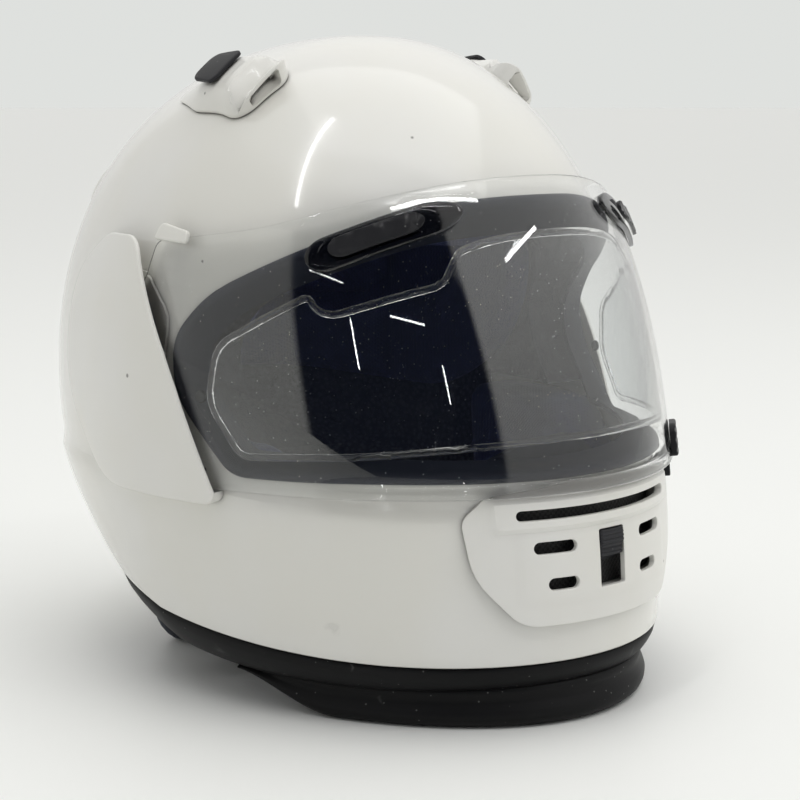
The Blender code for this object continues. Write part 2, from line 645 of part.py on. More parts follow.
def neck_roll(helmet):
    """Padded roll at the nape, which the helmet stands on behind."""
    def section(phi):
        return roll_section(trim_bottom(phi) - GAP, TRIM_INSET_SIDE + ROLL_INSET, ROLL_WIDTH)
    span = (math.pi - ROLL_HALF_ANGLE, math.pi + ROLL_HALF_ANGLE)
    helmet.piece("neck_roll", swept(section, span, ROLL_STEPS, False), NAVY_CLOTH)


def breath_guard(helmet):
    """Thin rubber shield over the nose, inside the lower edge of the eye port."""
    depth = SHELL_WALL + LINER_FIT + CHIN_LINER_WALL + BREATH_GUARD_GAP
    lifts = (constant(-depth - BREATH_GUARD_WALL), constant(-depth))
    helmet.panel("breath_guard", rounded(whole(BREATH_GUARD)), "front", lifts, BLACK_RUBBER)


def shield(helmet):
    """Clear shield with a hole at each end for the hub it turns on."""
    clear = helmet.panel("shield", rounded(SHIELD), "sides", (above_shield(-SHIELD_WALL), shield_lift), CLEAR)
    hole = cylinder(HUB_RADIUS + HUB_CLEARANCE, 2 * FAR, (0, PIVOT_Y, PIVOT_Z), (1, 0, 0), 28)
    helmet.cut(clear, hole)
    return clear


def anti_fog_insert(helmet):
    """Thin second lens inside the shield."""
    outer = above_shield(-SHIELD_WALL - GAP)
    inner = above_shield(-SHIELD_WALL - GAP - INSERT_WALL)
    return helmet.panel("anti_fog_insert", rounded(INSERT), "sides", (inner, outer), CLEAR)


def insert_pin(helmet, label, side):
    """Small black pin that holds the insert's end."""
    phi = seen_angle((INSERT_PIN_Y, INSERT_PIN_Z), "side")
    lift = shield_lift(phi, INSERT_PIN_Z) - SHIELD_WALL - GAP - INSERT_WALL / 2 - PIN_DROP
    centre = skin(phi, INSERT_PIN_Z, lift)
    pin = cylinder(INSERT_PIN_RADIUS, INSERT_WALL, centre, outward(phi, INSERT_PIN_Z), 12)
    return helmet.piece("insert_pin_" + label, mirrored(pin, side), BLACK_RUBBER)


def brow_vent_base(helmet, label, side):
    """Smoke vent cover on the shield."""
    outline = rounded(stadium(BROW_Y, BROW_Z, BROW_HALF_LENGTH, BROW_HALF_WIDTH, BROW_SLOPE))
    lifts = (above_shield(GAP), above_shield(GAP + BROW_WALL))
    return helmet.panel("brow_vent_base_" + label, outline, "side", lifts, SMOKE, side)


def brow_vent_shutter(helmet, label, side):
    """Shutter that slides along the vent cover."""
    outline = rounded(stadium(BROW_Y, BROW_Z, BROW_SHUTTER_HALF_LENGTH, BROW_SHUTTER_HALF_WIDTH, BROW_SLOPE))
    rise = GAP + BROW_WALL + SLIDE_ROOM
    lifts = (above_shield(rise), above_shield(rise + BROW_SHUTTER_WALL))
    cap = helmet.panel("brow_vent_shutter_" + label, outline, "side", lifts, SMOKE, side)
    phi = seen_angle((BROW_Y, BROW_Z), "side")
    place = skin(phi, BROW_Z, shield_lift(phi, BROW_Z) + rise)
    helmet.pivot("brow_shutter_slide_" + label, (side * place.x, place.y, place.z), [cap])
    return cap


def shield_corner(helmet, label, side):
    """Raised rib on the shield's upper rear corner."""
    lifts = (above_shield(GAP), above_shield(GAP + CORNER_RIB_WALL))
    return helmet.panel("shield_corner_rib_" + label, rounded(CORNER_RIB), "side", lifts, GLOSS_WHITE, side)


def lock_lever(helmet):
    """Small lever at the shield's lower edge, on the wearer's left; it turns about its outer end."""
    near, far = LOCK_X - LOCK_HALF_WIDTH, LOCK_X + LOCK_HALF_WIDTH
    outline = box_outline(near, far, LOCK_LOW_Z, LOCK_HIGH_Z, LOCK_CORNER)
    lifts = (above_shield(SEAT), above_shield(SEAT + LOCK_WALL))
    lever = helmet.panel("shield_lock_lever", outline, "front", lifts, BLACK_RUBBER)
    phi = seen_angle((far, LOCK_LOW_Z), "front")
    helmet.pivot("shield_lock_hinge", skin(phi, LOCK_LOW_Z, SHIELD_LIFT_FRONT + SEAT), [lever])
    return lever


def lock_catch(helmet):
    """Catch on the shell, under the lever."""
    near, far = LOCK_X - CATCH_HALF_WIDTH, LOCK_X + CATCH_HALF_WIDTH
    outline = box_outline(near, far, CATCH_LOW_Z, CATCH_HIGH_Z, CATCH_CORNER)
    helmet.panel("shield_lock_catch", outline, "front", (constant(SEAT), constant(CATCH_LIFT)), GREY_PLASTIC)


def moving_shield(helmet):
    """The shield and all that swings with it, hung on the hinge axis."""
    group = [shield(helmet), anti_fog_insert(helmet), lock_lever(helmet).parent]
    for label, side in SIDES:
        group.append(insert_pin(helmet, label, side))
        group.append(brow_vent_base(helmet, label, side))
        group.append(brow_vent_shutter(helmet, label, side).parent)
        group.append(shield_corner(helmet, label, side))
    helmet.pivot("shield_hinge", (0, PIVOT_Y, PIVOT_Z), group)


def pod_lift(phi, z):
    """Outer lift of a side pod: proud at its front edge, flush behind."""
    share = blend(form(phi, z).y, POD_LIFT_FROM_Y, POD_LIFT_TO_Y)
    return POD_LIFT_FRONT + (POD_LIFT_REAR - POD_LIFT_FRONT) * share


def side_pod(helmet, label, side):
    """Cover over the shield's pivot, open in front and above so that the shield can swing."""
    lifts = (constant(SEAT), pod_lift)
    pod = helmet.panel("side_pod_" + label, rounded(POD), "side", lifts, GLOSS_WHITE, side)

    def roof(phi, z):
        return pod_lift(phi, z) - POD_WALL

    helmet.hollow(pod, rounded(POD_POCKET), "side", (constant(-SHELL_WALL), roof), side)


def base_plate(helmet, label, side):
    """Plate on the shell with the round hub that the shield turns on, and its screws."""
    lifts = (constant(SEAT), constant(SEAT + PLATE_WALL))
    plate = helmet.panel("shield_base_plate_" + label, rounded(PLATE), "side", lifts, GREY_PLASTIC, side)
    phi = seen_angle((PIVOT_Y, PIVOT_Z), "side")
    foot = skin(phi, PIVOT_Z, SEAT + PLATE_WALL / 2).x
    top = skin(phi, PIVOT_Z, SHIELD_LIFT_SIDE + HUB_TOP).x
    hub = cylinder(HUB_RADIUS, top - foot, (side * (top + foot) / 2, PIVOT_Y, PIVOT_Z), (1, 0, 0), 24)
    helmet.cut(plate, hub, "UNION")
    for index, (y, z) in enumerate(PLATE_SCREWS):
        phi = seen_angle((y, z), "side")
        lift = SEAT + PLATE_WALL + SEAT + SCREW_HEAD / 2
        head = cylinder(SCREW_RADIUS, SCREW_HEAD, skin(phi, z, lift), outward(phi, z), 12)
        helmet.piece("base_plate_screw_%s_%d" % (label, index + 1), mirrored(head, side), STEEL)


def bar_slot(x_low, x_high, z_middle, height):
    """Outline of a slot with round ends."""
    half = height / 2
    return box_outline(x_low, x_high, z_middle - half, z_middle + half, half * 0.99)


def chin_vent(helmet):
    """Vent cover on the chin bar with its slots, and the mesh behind it."""
    lifts = (constant(SEAT), constant(COVER_LIFT))
    cover = helmet.panel("chin_vent_cover", rounded(whole(CHIN_COVER)), "front", lifts, GLOSS_WHITE)
    reach_x, middle, height = LONG_SLOT
    helmet.cut(cover, view_prism(bar_slot(-reach_x, reach_x, middle, height), "front"))
    for near, far, middle, height in SHORT_SLOTS:
        helmet.cut(cover, view_prism(bar_slot(near, far, middle, height), "front"))
        helmet.cut(cover, view_prism(bar_slot(-far, -near, middle, height), "front"))
    width, low, high = TOGGLE_SLOT
    helmet.cut(cover, view_prism(box_outline(-width, width, low, high), "front"))
    lifts = (constant(GAP - SHELL_WALL), constant(GAP - SHELL_WALL + MESH_WALL))
    helmet.panel("chin_vent_mesh", chin_window(FIT), "front", lifts, GREY_PLASTIC)


def toggle(helmet):
    """Sliding toggle of the chin vent: a knob in the slot on a wider flange behind the cover."""
    width, low, high = TOGGLE_SLOT
    knob_half, bottom, top = width - FIT, high - FIT - TOGGLE_HEIGHT, high - FIT
    knob = box_outline(-knob_half, knob_half, bottom, top)
    lifts = (constant(TOGGLE_BACK), constant(TOGGLE_BACK + TOGGLE_FLANGE_WALL))
    made = helmet.panel("chin_vent_toggle", grown(knob, TOGGLE_FLANGE), "front", lifts, GREY_PLASTIC)
    back = skin(0, bottom, TOGGLE_BACK + TOGGLE_FLANGE_WALL).y
    front = skin(0, bottom, COVER_LIFT + TOGGLE_PROUD).y
    helmet.cut(made, prism(knob, 1, front, back + TOGGLE_FLANGE_WALL), "UNION")
    helmet.pivot("chin_toggle_slide", (0, front, (bottom + top) / 2), [made])


def duct_lift(phi, z):
    """Outer lift of a top duct: tall at its mouth, falling to the shell behind."""
    share = blend(form(phi, z).y, DUCT_FRONT_Y, DUCT_REAR_Y)
    return DUCT_LIFT_FRONT + (DUCT_LIFT_REAR - DUCT_LIFT_FRONT) * share


def top_duct(helmet, label, side):
    """Air scoop on the crown with a pocket behind its mouth."""
    lifts = (constant(SEAT), duct_lift)
    body = helmet.panel("top_duct_" + label, rounded(DUCT), "top", lifts, GLOSS_WHITE, side)

    def roof(phi, z):
        return duct_lift(phi, z) - DUCT_ROOF

    helmet.hollow(body, rounded(DUCT_MOUTH), "top", (constant(SEAT + DUCT_FLOOR), roof), side)


def top_duct_shutter(helmet, label, side):
    """Flat shutter that slides backwards over the scoop."""
    low = DUCT_LIFT_FRONT + SLIDE_ROOM
    outline = rounded(DUCT_SHUTTER)
    lifts = (constant(low), constant(low + DUCT_SHUTTER_WALL))
    shutter = helmet.panel("top_duct_shutter_" + label, outline, "top", lifts, SMOKE, side)
    middle = sum(outline, Vector((0.0, 0.0))) / len(outline)
    place = skin(*plan_point(middle.x, middle.y), low)
    helmet.pivot("top_duct_slide_" + label, (side * place.x, place.y, place.z), [shutter])


def outlet_lift(phi, z):
    """Outer lift of a rear outlet, rising downwards to its mouth."""
    return OUTLET_EDGE + OUTLET_LIFT * blend(OUTLET_TOP_Z - z, 0.0, OUTLET_RAMP)


def rear_outlet(helmet, label, side):
    """Air outlet on the back of the shell, open downwards."""
    lifts = (constant(OUTLET_SEAT), outlet_lift)
    body = helmet.panel("rear_outlet_" + label, rounded(OUTLET), "rear", lifts, GLOSS_WHITE, side)

    def roof(phi, z):
        return outlet_lift(phi, z) - OUTLET_ROOF

    helmet.hollow(body, rounded(OUTLET_MOUTH), "rear", (constant(OUTLET_SEAT + OUTLET_FLOOR), roof), side)


def ribbon(route, thickness):
    """Outline of a band of even thickness along a route."""
    points = [Vector(point) for point in route]
    left, right = [], []
    for index, point in enumerate(points):
        before = points[max(index - 1, 0)]
        after = points[min(index + 1, len(points) - 1)]
        along = (after - before).normalized()
        side = Vector((-along.y, along.x)) * thickness / 2
        left.append(point + side)
        right.append(point - side)
    return left + right[::-1]


def anchor_x():
    """Distance of a strap anchor's outer end from the middle plane, inside the shell."""
    lowest = STRAP_TOP_Z - ANCHOR_RADIUS
    phi = seen_angle((STRAP_Y, lowest), "side")
    return form(phi, lowest).x - SHELL_WALL - 2 * FIT


def chin_strap(helmet):
    """Webbing from each side: the long end on the right, the end with the two rings on the left."""
    low, high = STRAP_Y - STRAP_WIDTH / 2, STRAP_Y + STRAP_WIDTH / 2
    start = anchor_x() - ANCHOR_LENGTH - FIT
    long_route = [(inwards - start, z) for inwards, z in LONG_STRAP_ROUTE]
    helmet.piece("chin_strap_right", prism(ribbon(long_route, STRAP_WALL), 1, low, high), BLACK_RUBBER)
    route = [(start - inwards, z) for inwards, z in STRAP_ROUTE]
    short = helmet.piece("chin_strap_left", prism(ribbon(route, STRAP_WALL), 1, low, high), BLACK_RUBBER)
    hole_half, hole_rise = RING_SPACING / 2 + RING_WIRE + RING_ROOM, RING_WIRE + RING_ROOM
    centre = Vector(route[-1]) - Vector((0.0, hole_rise + STRAP_WALL))
    for grow, operation in ((STRAP_WALL, "UNION"), (0.0, "DIFFERENCE")):
        half, rise = hole_half + grow, hole_rise + grow
        points = box_outline(centre.x - half, centre.x + half, centre.y - rise, centre.y + rise, rise * 0.98)
        margin = 0.01 if operation == "DIFFERENCE" else 0.0
        helmet.cut(short, prism(points, 1, low - margin, high + margin), operation)
    for label, shift in (("inner", -RING_SPACING / 2), ("outer", RING_SPACING / 2)):
        d_ring(helmet, "d_ring_" + label, (centre.x + shift, STRAP_Y, centre.y))


def d_ring(helmet, name, place):
    """Steel ring hanging from its straight bar; its origin is on the bar's axis."""
    half = STRAP_WIDTH / 2 + RING_SIDE_ROOM + RING_WIRE
    points = rounded(whole([(half, 0.0, RING_TOP_CORNER), (half * RING_TAPER, -RING_DROP, RING_LOW_CORNER)]))
    curve = bpy.data.curves.new(name, "CURVE")
    curve.dimensions = "3D"
    curve.bevel_depth = RING_WIRE
    curve.bevel_resolution = 2
    line = curve.splines.new("POLY")
    line.points.add(len(points) - 1)
    for knot, point in zip(line.points, points):
        knot.co = (0.0, point.x, point.y, 1.0)
    line.use_cyclic_u = True
    curve.materials.append(material(name, STEEL))
    ring = bpy.data.objects.new(name, curve)
    helmet.parts.objects.link(ring)
    ring.location = place


def strap_anchor(helmet, label, side):
    """Rivet that holds the webbing to the shell."""
    middle = side * (anchor_x() - ANCHOR_LENGTH / 2)
    rivet = cylinder(ANCHOR_RADIUS, ANCHOR_LENGTH, (middle, STRAP_Y, STRAP_TOP_Z), (1, 0, 0))
    helmet.piece("strap_anchor_" + label, rivet, STEEL)


def build():
    """Make the whole helmet."""
    for old in list(bpy.data.objects):
        bpy.data.objects.remove(old, do_unlink=True)
    helmet = Helmet()
    outer_shell(helmet)
    eyeport_gasket(helmet)
    impact_liner(helmet)
    chin_liner(helmet)
    crown_pad(helmet)
    lower_edge_trim(helmet)
    chin_skirt(helmet)
    neck_roll(helmet)
    breath_guard(helmet)
    moving_shield(helmet)
    lock_catch(helmet)
    chin_vent(helmet)
    toggle(helmet)
    chin_strap(helmet)
    for label, side in SIDES:
        cheek_pad(helmet, label, side)
        side_pod(helmet, label, side)
        base_plate(helmet, label, side)
        top_duct(helmet, label, side)
        top_duct_shutter(helmet, label, side)
        rear_outlet(helmet, label, side)
        strap_anchor(helmet, label, side)


build()
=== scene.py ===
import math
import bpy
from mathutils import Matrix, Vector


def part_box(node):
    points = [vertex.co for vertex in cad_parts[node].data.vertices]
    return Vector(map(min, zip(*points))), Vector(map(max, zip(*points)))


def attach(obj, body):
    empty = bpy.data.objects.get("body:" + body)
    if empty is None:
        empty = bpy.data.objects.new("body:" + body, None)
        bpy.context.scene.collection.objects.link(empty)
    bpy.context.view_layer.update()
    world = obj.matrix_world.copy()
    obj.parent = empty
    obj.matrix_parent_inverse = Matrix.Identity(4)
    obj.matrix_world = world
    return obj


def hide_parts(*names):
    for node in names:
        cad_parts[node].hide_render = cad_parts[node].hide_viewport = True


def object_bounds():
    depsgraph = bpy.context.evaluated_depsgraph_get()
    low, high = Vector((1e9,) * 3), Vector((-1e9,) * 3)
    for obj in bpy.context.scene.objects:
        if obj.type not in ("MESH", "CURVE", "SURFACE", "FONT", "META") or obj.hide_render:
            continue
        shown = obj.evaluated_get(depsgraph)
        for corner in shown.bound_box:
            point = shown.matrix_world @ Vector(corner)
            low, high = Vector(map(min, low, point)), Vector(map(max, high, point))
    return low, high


bl_info = {
    "name": "Full Face Helmet",
    "version": (1, 0, 0),
    "blender": (4, 5, 0),
    "location": "View3D > Sidebar > Helmet",
    "description": "Models and finishes a full face motorcycle helmet around its solid frame",
    "category": "Add Mesh",
}

import bmesh
import bpy
from mathutils import Matrix, Vector

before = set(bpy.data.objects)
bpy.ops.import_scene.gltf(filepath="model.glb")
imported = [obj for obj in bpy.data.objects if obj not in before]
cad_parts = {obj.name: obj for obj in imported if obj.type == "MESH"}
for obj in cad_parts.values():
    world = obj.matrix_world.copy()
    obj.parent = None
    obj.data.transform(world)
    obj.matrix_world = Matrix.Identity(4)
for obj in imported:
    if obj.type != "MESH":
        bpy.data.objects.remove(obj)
CAD_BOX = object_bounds()

# Form of the shell: half widths, where they are widest, and how they round off.
CROWN_Z = CAD_BOX[1].z
WIDEST_Y = -0.0055
SIDE = (0.1244, 0.119, 2.33, 0.2557, 2.22)
FRONT = (0.153, 0.034, 1.99, 0.2668, 2.22)
REAR = (0.1676, 0.1318, 2.03, 0.0992, 2.28)
FRONT_TUCK_LOW, FRONT_TUCK_HIGH, REAR_BULGE = -0.014, -0.051, 0.046
EDGE_FRONT_Z, EDGE_SIDE_Z, EDGE_REAR_Z, EDGE_SIDE_SLOPE = 0.0285, 0.0376, 0.049, 0.018
ARC = 0.135

SEAT, GAP, ROW_CROWDING = 0.0005, 0.0003, 0.5
SHELL_WALL, LINER_FIT, LINER_WALL = 0.004, 0.0018, 0.026
SHIELD_WALL, INSERT_WALL = 0.002, 0.0008
SHIELD_FRONT, SHIELD_SIDE = 0.007, 0.0050
PIVOT_Y, PIVOT_Z, HUB_HOLE, TAB = 0.007, 0.160, 0.0095, 0.0148

# Outlines seen from the side as (y, z, corner radius); the first three run off the front.
OFF = -0.21
EYE_PORT = [(OFF, 0.2175, 0), (-0.108, 0.2155, 0.06), (-0.040, 0.1755, 0.05), (-0.026, 0.158, 0.018),
            (-0.0285, 0.137, 0.03), (-0.056, 0.1065, 0.012), (OFF, 0.1065, 0)]
SHIELD = [(OFF, 0.2245, 0), (-0.108, 0.2235, 0.04), (-0.058, 0.204, 0.08), (-0.008, 0.1975, 0.005),
          (-0.004, 0.178, 0.010), (PIVOT_Y + TAB, PIVOT_Z + TAB, TAB * 0.95),
          (PIVOT_Y + TAB, PIVOT_Z - TAB, TAB * 0.95), (-0.012, PIVOT_Z - TAB, 0.012),
          (-0.047, 0.0985, 0.006), (OFF, 0.0985, 0)]
INSERT = [(OFF, 0.2035, 0), (-0.118, 0.202, 0.012), (-0.111, 0.196, 0.004), (-0.112, 0.183, 0.004),
          (-0.084, 0.1705, 0.007), (-0.078, 0.1795, 0.003), (-0.046, 0.158, 0.014), (-0.0435, 0.134, 0.02),
          (-0.060, 0.1115, 0.010), (-0.104, 0.114, 0.08), (-0.150, 0.1195, 0.05), (OFF, 0.1195, 0)]
POD = [(0.002, 0.198, 0.013), (-0.0285, 0.146, 0.15), (-0.053, 0.0925, 0.004), (0.020, 0.0925, 0.05),
       (0.074, 0.128, 0.04), (0.070, 0.180, 0.035), (0.030, 0.1985, 0.03)]
POD_POCKET = [(0.012, 0.230, 0), (-0.070, 0.150, 0), (-0.070, 0.0975, 0), (0.022, 0.0975, 0.01),
              (0.042, 0.122, 0.02), (0.042, 0.230, 0)]
CHEEK = [(-0.082, 0.052, 0.012), (0.020, 0.052, 0.015), (0.026, 0.116, 0.012), (-0.060, 0.116, 0.02),
         (-0.082, 0.092, 0.012)]
CORNER_RIB = [(-0.027, 0.1965, 0.001), (-0.0262, 0.2015, 0.002), (-0.011, 0.2045, 0.003),
              (-0.0085, 0.1975, 0.001)]

# Halves of the chin vent from the front, and the ducts and outlets on the wearer's left.
CHIN_COVER = [(0.018, 0.1030, 0.030), (0.051, 0.0998, 0.008), (0.0605, 0.090, 0.008), (0.0575, 0.066, 0.03),
              (0.041, 0.0455, 0.015)]
LONG_SLOT = (-0.042, 0.042, 0.091, 0.0042)
SHORT_SLOTS = [(0.018, 0.036, 0.0775, 0.0050), (0.0176, 0.0308, 0.0625, 0.0050)]
TOGGLE_SLOT = (-0.0069, 0.0069, 0.0585, 0.0822)
DUCT = [(0.0605, -0.0295, 0.007), (0.0865, -0.0240, 0.010), (0.085, 0.010, 0.03), (0.0755, 0.038, 0.003),
        (0.059, 0.006, 0.03)]
DUCT_MOUTH = [(0.0665, -0.045, 0), (0.0800, -0.045, 0), (0.0800, -0.012, 0.004), (0.0665, -0.012, 0.004)]
DUCT_SHUTTER = [(0.0650, -0.006, 0.003), (0.0805, -0.006, 0.003), (0.0785, 0.011, 0.004),
                (0.0665, 0.011, 0.004)]
OUTLET = [(0.026, 0.236, 0.006), (0.052, 0.232, 0.008), (0.060, 0.200, 0.012), (0.045, 0.182, 0.006),
          (0.031, 0.196, 0.012)]
OUTLET_MOUTH = [(0.034, 0.206, 0.003), (0.055, 0.203, 0.003), (0.050, 0.150, 0), (0.030, 0.150, 0)]
SIDES = (("left", 1), ("right", -1))
CHIN_WINDOW = [(-0.046, 0.0575, 0.005), (0.046, 0.0575, 0.005), (0.046, 0.0955, 0.005),
               (-0.046, 0.0955, 0.005)]
LOCK_LEVER = [(0.0605, 0.0995, 0.002), (0.0755, 0.0995, 0.002), (0.0755, 0.1135, 0.004),
              (0.0605, 0.1135, 0.004)]
LOCK_CATCH = [(0.0635, 0.0905, 0.001), (0.0725, 0.0905, 0.001), (0.0725, 0.0968, 0.001),
              (0.0635, 0.0968, 0.001)]

# Places and thicknesses of smaller features.
BROW_VENT, BROW_SLOPE, BROW_WALL = (-0.0905, 0.1995), math.radians(-31), 0.0022
PIN_Y, PIN_Z, PIN_RADIUS, PIN_HEIGHT = -0.0405, 0.136, 0.0026, 0.0018
BEAD_WALL, RIB_WALL, CAP_WALL, LEVER_WALL = 0.0014, 0.0022, 0.0014, 0.003
COVER_WALL, FLANGE_WALL, SHUTTER_WALL = 0.0026, 0.0013, 0.0015
PAD_DEPTH, WEBBING_WALL, RING_WIRE = 0.030, 0.0018, 0.0015
LEDGE_LEVELS = (0.0950, 0.0957, 0.0963, 0.0970, 0.0975)
SHIELD_RIM_LEVELS = (0.1030, 0.1034, 0.1038, 0.1042)

# Camera and lamps: where each lamp stands, its target, its two sizes and its power.
CAMERA_AZIMUTH, CAMERA_HEIGHT = math.radians(-41.54), math.radians(9.34)
CAMERA_TARGET = (0.0084, -0.0186, 0.1177)
LAMPS = [("lamp_a", (-0.9, -0.3, 2.0), (0, 0, 0.2), 0.03, 1.3, 3.0),
         ("lamp_b", (-0.2, -1.4, 2.0), (0, 0, 0.2), 1.3, 0.03, 3.0),
         ("lamp_c", (0.9, -1.6, 1.6), (0, 0, 0.2), 0.9, 0.03, 2.0),
         ("lamp_d", (-1.5, -1.1, 0.75), (0, 0, 0.15), 0.012, 0.30, 0.25),
         ("lamp_e", (-1.1, -1.5, 1.05), (0, 0, 0.15), 0.35, 0.012, 0.25),
         ("lamp_f", (-0.9, -1.7, 0.7), (0, 0, 0.15), 0.012, 0.22, 0.2),
         ("lamp_g", (-1.6, -0.9, 1.2), (0, 0, 0.15), 0.40, 0.014, 0.25)]


def reach(z, full, widest, upper, depth, lower):
    """Reach of the shell at height z: an upper and a lower superellipse arc."""
    if z > widest:
        share = min((z - widest) / (CROWN_Z - widest), 1.0)
        return full * (1.0 - share ** upper) ** (1.0 / upper)
    share = (widest - z) / depth
    return full * (1.0 - share ** lower) ** (1.0 / lower)


def form(phi, z):
    """Point of the bare form: phi is 0 at the front and positive to the wearer's left."""
    tuck = FRONT_TUCK_LOW + (FRONT_TUCK_HIGH - FRONT_TUCK_LOW) * z / CROWN_Z
    along = reach(z, *FRONT)
    if math.cos(phi) < 0:
        tuck = REAR_BULGE
        along = reach(z, *REAR)
    swell = 1.0 + tuck * math.sin(2 * phi) ** 2
    return Vector((reach(z, *SIDE) * math.sin(phi) * swell, WIDEST_Y - along * math.cos(phi) * swell, z))


def outward(phi, z):
    """Unit normal of the form."""
    if z > CROWN_Z - 0.0004:
        return Vector((0, 0, 1))
    turn = form(phi + 0.002, z) - form(phi - 0.002, z)
    rise = form(phi, z + 0.0002) - form(phi, z - 0.0002)
    return turn.cross(rise).normalized()


def skin(phi, z, lift):
    """Point that stands a lift over the form."""
    return form(phi, z) + outward(phi, z) * lift


def blend(value, low, high):
    """Smooth step from 0 at low to 1 at high."""
    share = min(max((value - low) / (high - low), 0.0), 1.0)
    return share * share * (3.0 - 2.0 * share)


def edge_z(phi):
    """Height of the shell's lower edge: low in front, high behind."""
    ahead = math.cos(phi)
    even = (EDGE_FRONT_Z + EDGE_REAR_Z) / 2 - EDGE_SIDE_Z
    odd = (EDGE_FRONT_Z - EDGE_REAR_Z) / 2 + EDGE_SIDE_SLOPE
    return EDGE_SIDE_Z - EDGE_SIDE_SLOPE * ahead + even * ahead ** 2 + odd * ahead ** 3


def below(phi, z, lift):
    """Point under the shell's lower edge, a lift outside the edge's outline in plan."""
    height = edge_z(phi)
    side = outward(phi, height)
    side.z = 0.0
    place = form(phi, height) + side.normalized() * lift
    place.z = z
    return place


def rounded(corners, step=math.radians(9)):
    """Closed outline through corners given as (a, b, radius)."""
    points = []
    for index, (a, b, radius) in enumerate(corners):
        here = Vector((a, b))
        if radius == 0:
            points.append(here)
            continue
        before = (Vector(corners[index - 1][:2]) - here).normalized()
        after = (Vector(corners[(index + 1) % len(corners)][:2]) - here).normalized()
        half = before.angle(after) / 2
        centre = here + (before + after).normalized() * (radius / math.sin(half))
        start = here + before * (radius / math.tan(half)) - centre
        turn = start.angle_signed(here + after * (radius / math.tan(half)) - centre)
        count = max(1, math.ceil(abs(turn) / step))
        for part in range(count + 1):
            spoke = start.copy()
            spoke.rotate(Matrix.Rotation(-turn * part / count, 2))
            points.append(centre + spoke)
    return points


def grown(points, distance):
    """The same outline moved outwards by a distance."""
    area = sum(p.x * q.y - q.x * p.y for p, q in zip(points, points[1:] + points[:1]))
    sign = 1 if area > 0 else -1
    moved = []
    for index, point in enumerate(points):
        before = (point - points[index - 1]).normalized()
        after = (points[(index + 1) % len(points)] - point).normalized()
        side = Vector((before.y, -before.x)) + Vector((after.y, -after.x))
        moved.append(point + sign * distance * side * 2 / max(side.length_squared, 0.5))
    return moved


def bar(low, high, middle, height):
    """Corners of a slot with round ends."""
    half = height / 2
    return [(low, middle - half, half * 0.99), (high, middle - half, half * 0.99),
            (high, middle + half, half * 0.99), (low, middle + half, half * 0.99)]


def turned_bar(a, b, half_length, half_width, slope):
    """Corners of a bar with round ends, turned by slope."""
    made = []
    for u, v in ((-half_length, -half_width), (half_length, -half_width), (half_length, half_width),
                 (-half_length, half_width)):
        made.append((a + u * math.cos(slope) - v * math.sin(slope),
                     b + u * math.sin(slope) + v * math.cos(slope), half_width * 0.99))
    return made


def whole(corners):
    """Corners of a symmetric outline from those on its positive side."""
    return corners + [(-a, b, radius) for a, b, radius in reversed(corners)]


def seen_angle(point, view):
    """Angle at which the form passes through a point of a side, front or rear view."""
    near, far = {"front": (0.0, math.pi / 2), "rear": (math.pi, math.pi / 2)}.get(view, (0.0, math.pi))
    for _ in range(32):
        middle = (near + far) / 2
        at = form(middle, point[1])
        short = at.y < point[0] if view == "side" else at.x < abs(point[0])
        near, far = (middle, far) if short else (near, middle)
    return near if view == "side" else math.copysign(near, point[0])


PLAN = {}


def plan_point(x, y):
    """Angle and height of the form's point above a place in plan."""
    key = (round(x, 6), round(y, 6))
    if key in PLAN:
        return PLAN[key]
    phi = math.atan2(x, WIDEST_Y - y)
    low, high = SIDE[1], CROWN_Z
    for _ in range(26):
        z = (low + high) / 2
        at = form(phi, z)
        phi += math.atan2(x, WIDEST_Y - y) - math.atan2(at.x, WIDEST_Y - at.y)
        at = form(phi, z)
        if math.hypot(at.x, at.y - WIDEST_Y) > math.hypot(x, y - WIDEST_Y):
            low = z
        else:
            high = z
    PLAN[key] = (phi, (low + high) / 2)
    return PLAN[key]


def stepped(points, step=0.003, closed=True):
    """The outline with points every step along its straight runs."""
    fine = []
    pairs = zip(points, points[1:] + points[:1]) if closed else zip(points, points[1:])
    for start, end in pairs:
        parts = max(1, math.ceil((end - start).length / step))
        fine += [start.lerp(end, part / parts) for part in range(parts)]
    return fine if closed else fine + [points[-1]]


def laid(corners, view, grow=0.0):
    """An outline seen in a view, rounded and laid out flat along the form."""
    points = stepped(grown(rounded(corners), grow) if grow else rounded(corners))
    if view == "top":
        return points
    return [Vector((seen_angle(point, view) * ARC, point.y)) for point in points]


def wrapped(corners):
    """An outline that wraps round the front, laid out flat, both halves."""
    path = stepped(rounded(corners), 0.0015, closed=False)
    flat = [Vector((seen_angle(point, "side") * ARC, point.y)) for point in path]
    half = [point for point in flat if point.x > 0.002]
    ends = [Vector((0.0, half[0].y + (half[0].y - half[3].y) * 0.2)), Vector((0.0, half[-1].y))]
    return [ends[0]] + half + [ends[1]] + [Vector((-point.x, point.y)) for point in reversed(half)]


def bevel(bm, edges, offset, segments=3):
    """Round some edges of a bmesh."""
    bmesh.ops.bevel(bm, geom=edges, offset=offset, offset_type="OFFSET", segments=segments, profile=0.5,
                    affect="EDGES", clamp_overlap=True, material=-1)


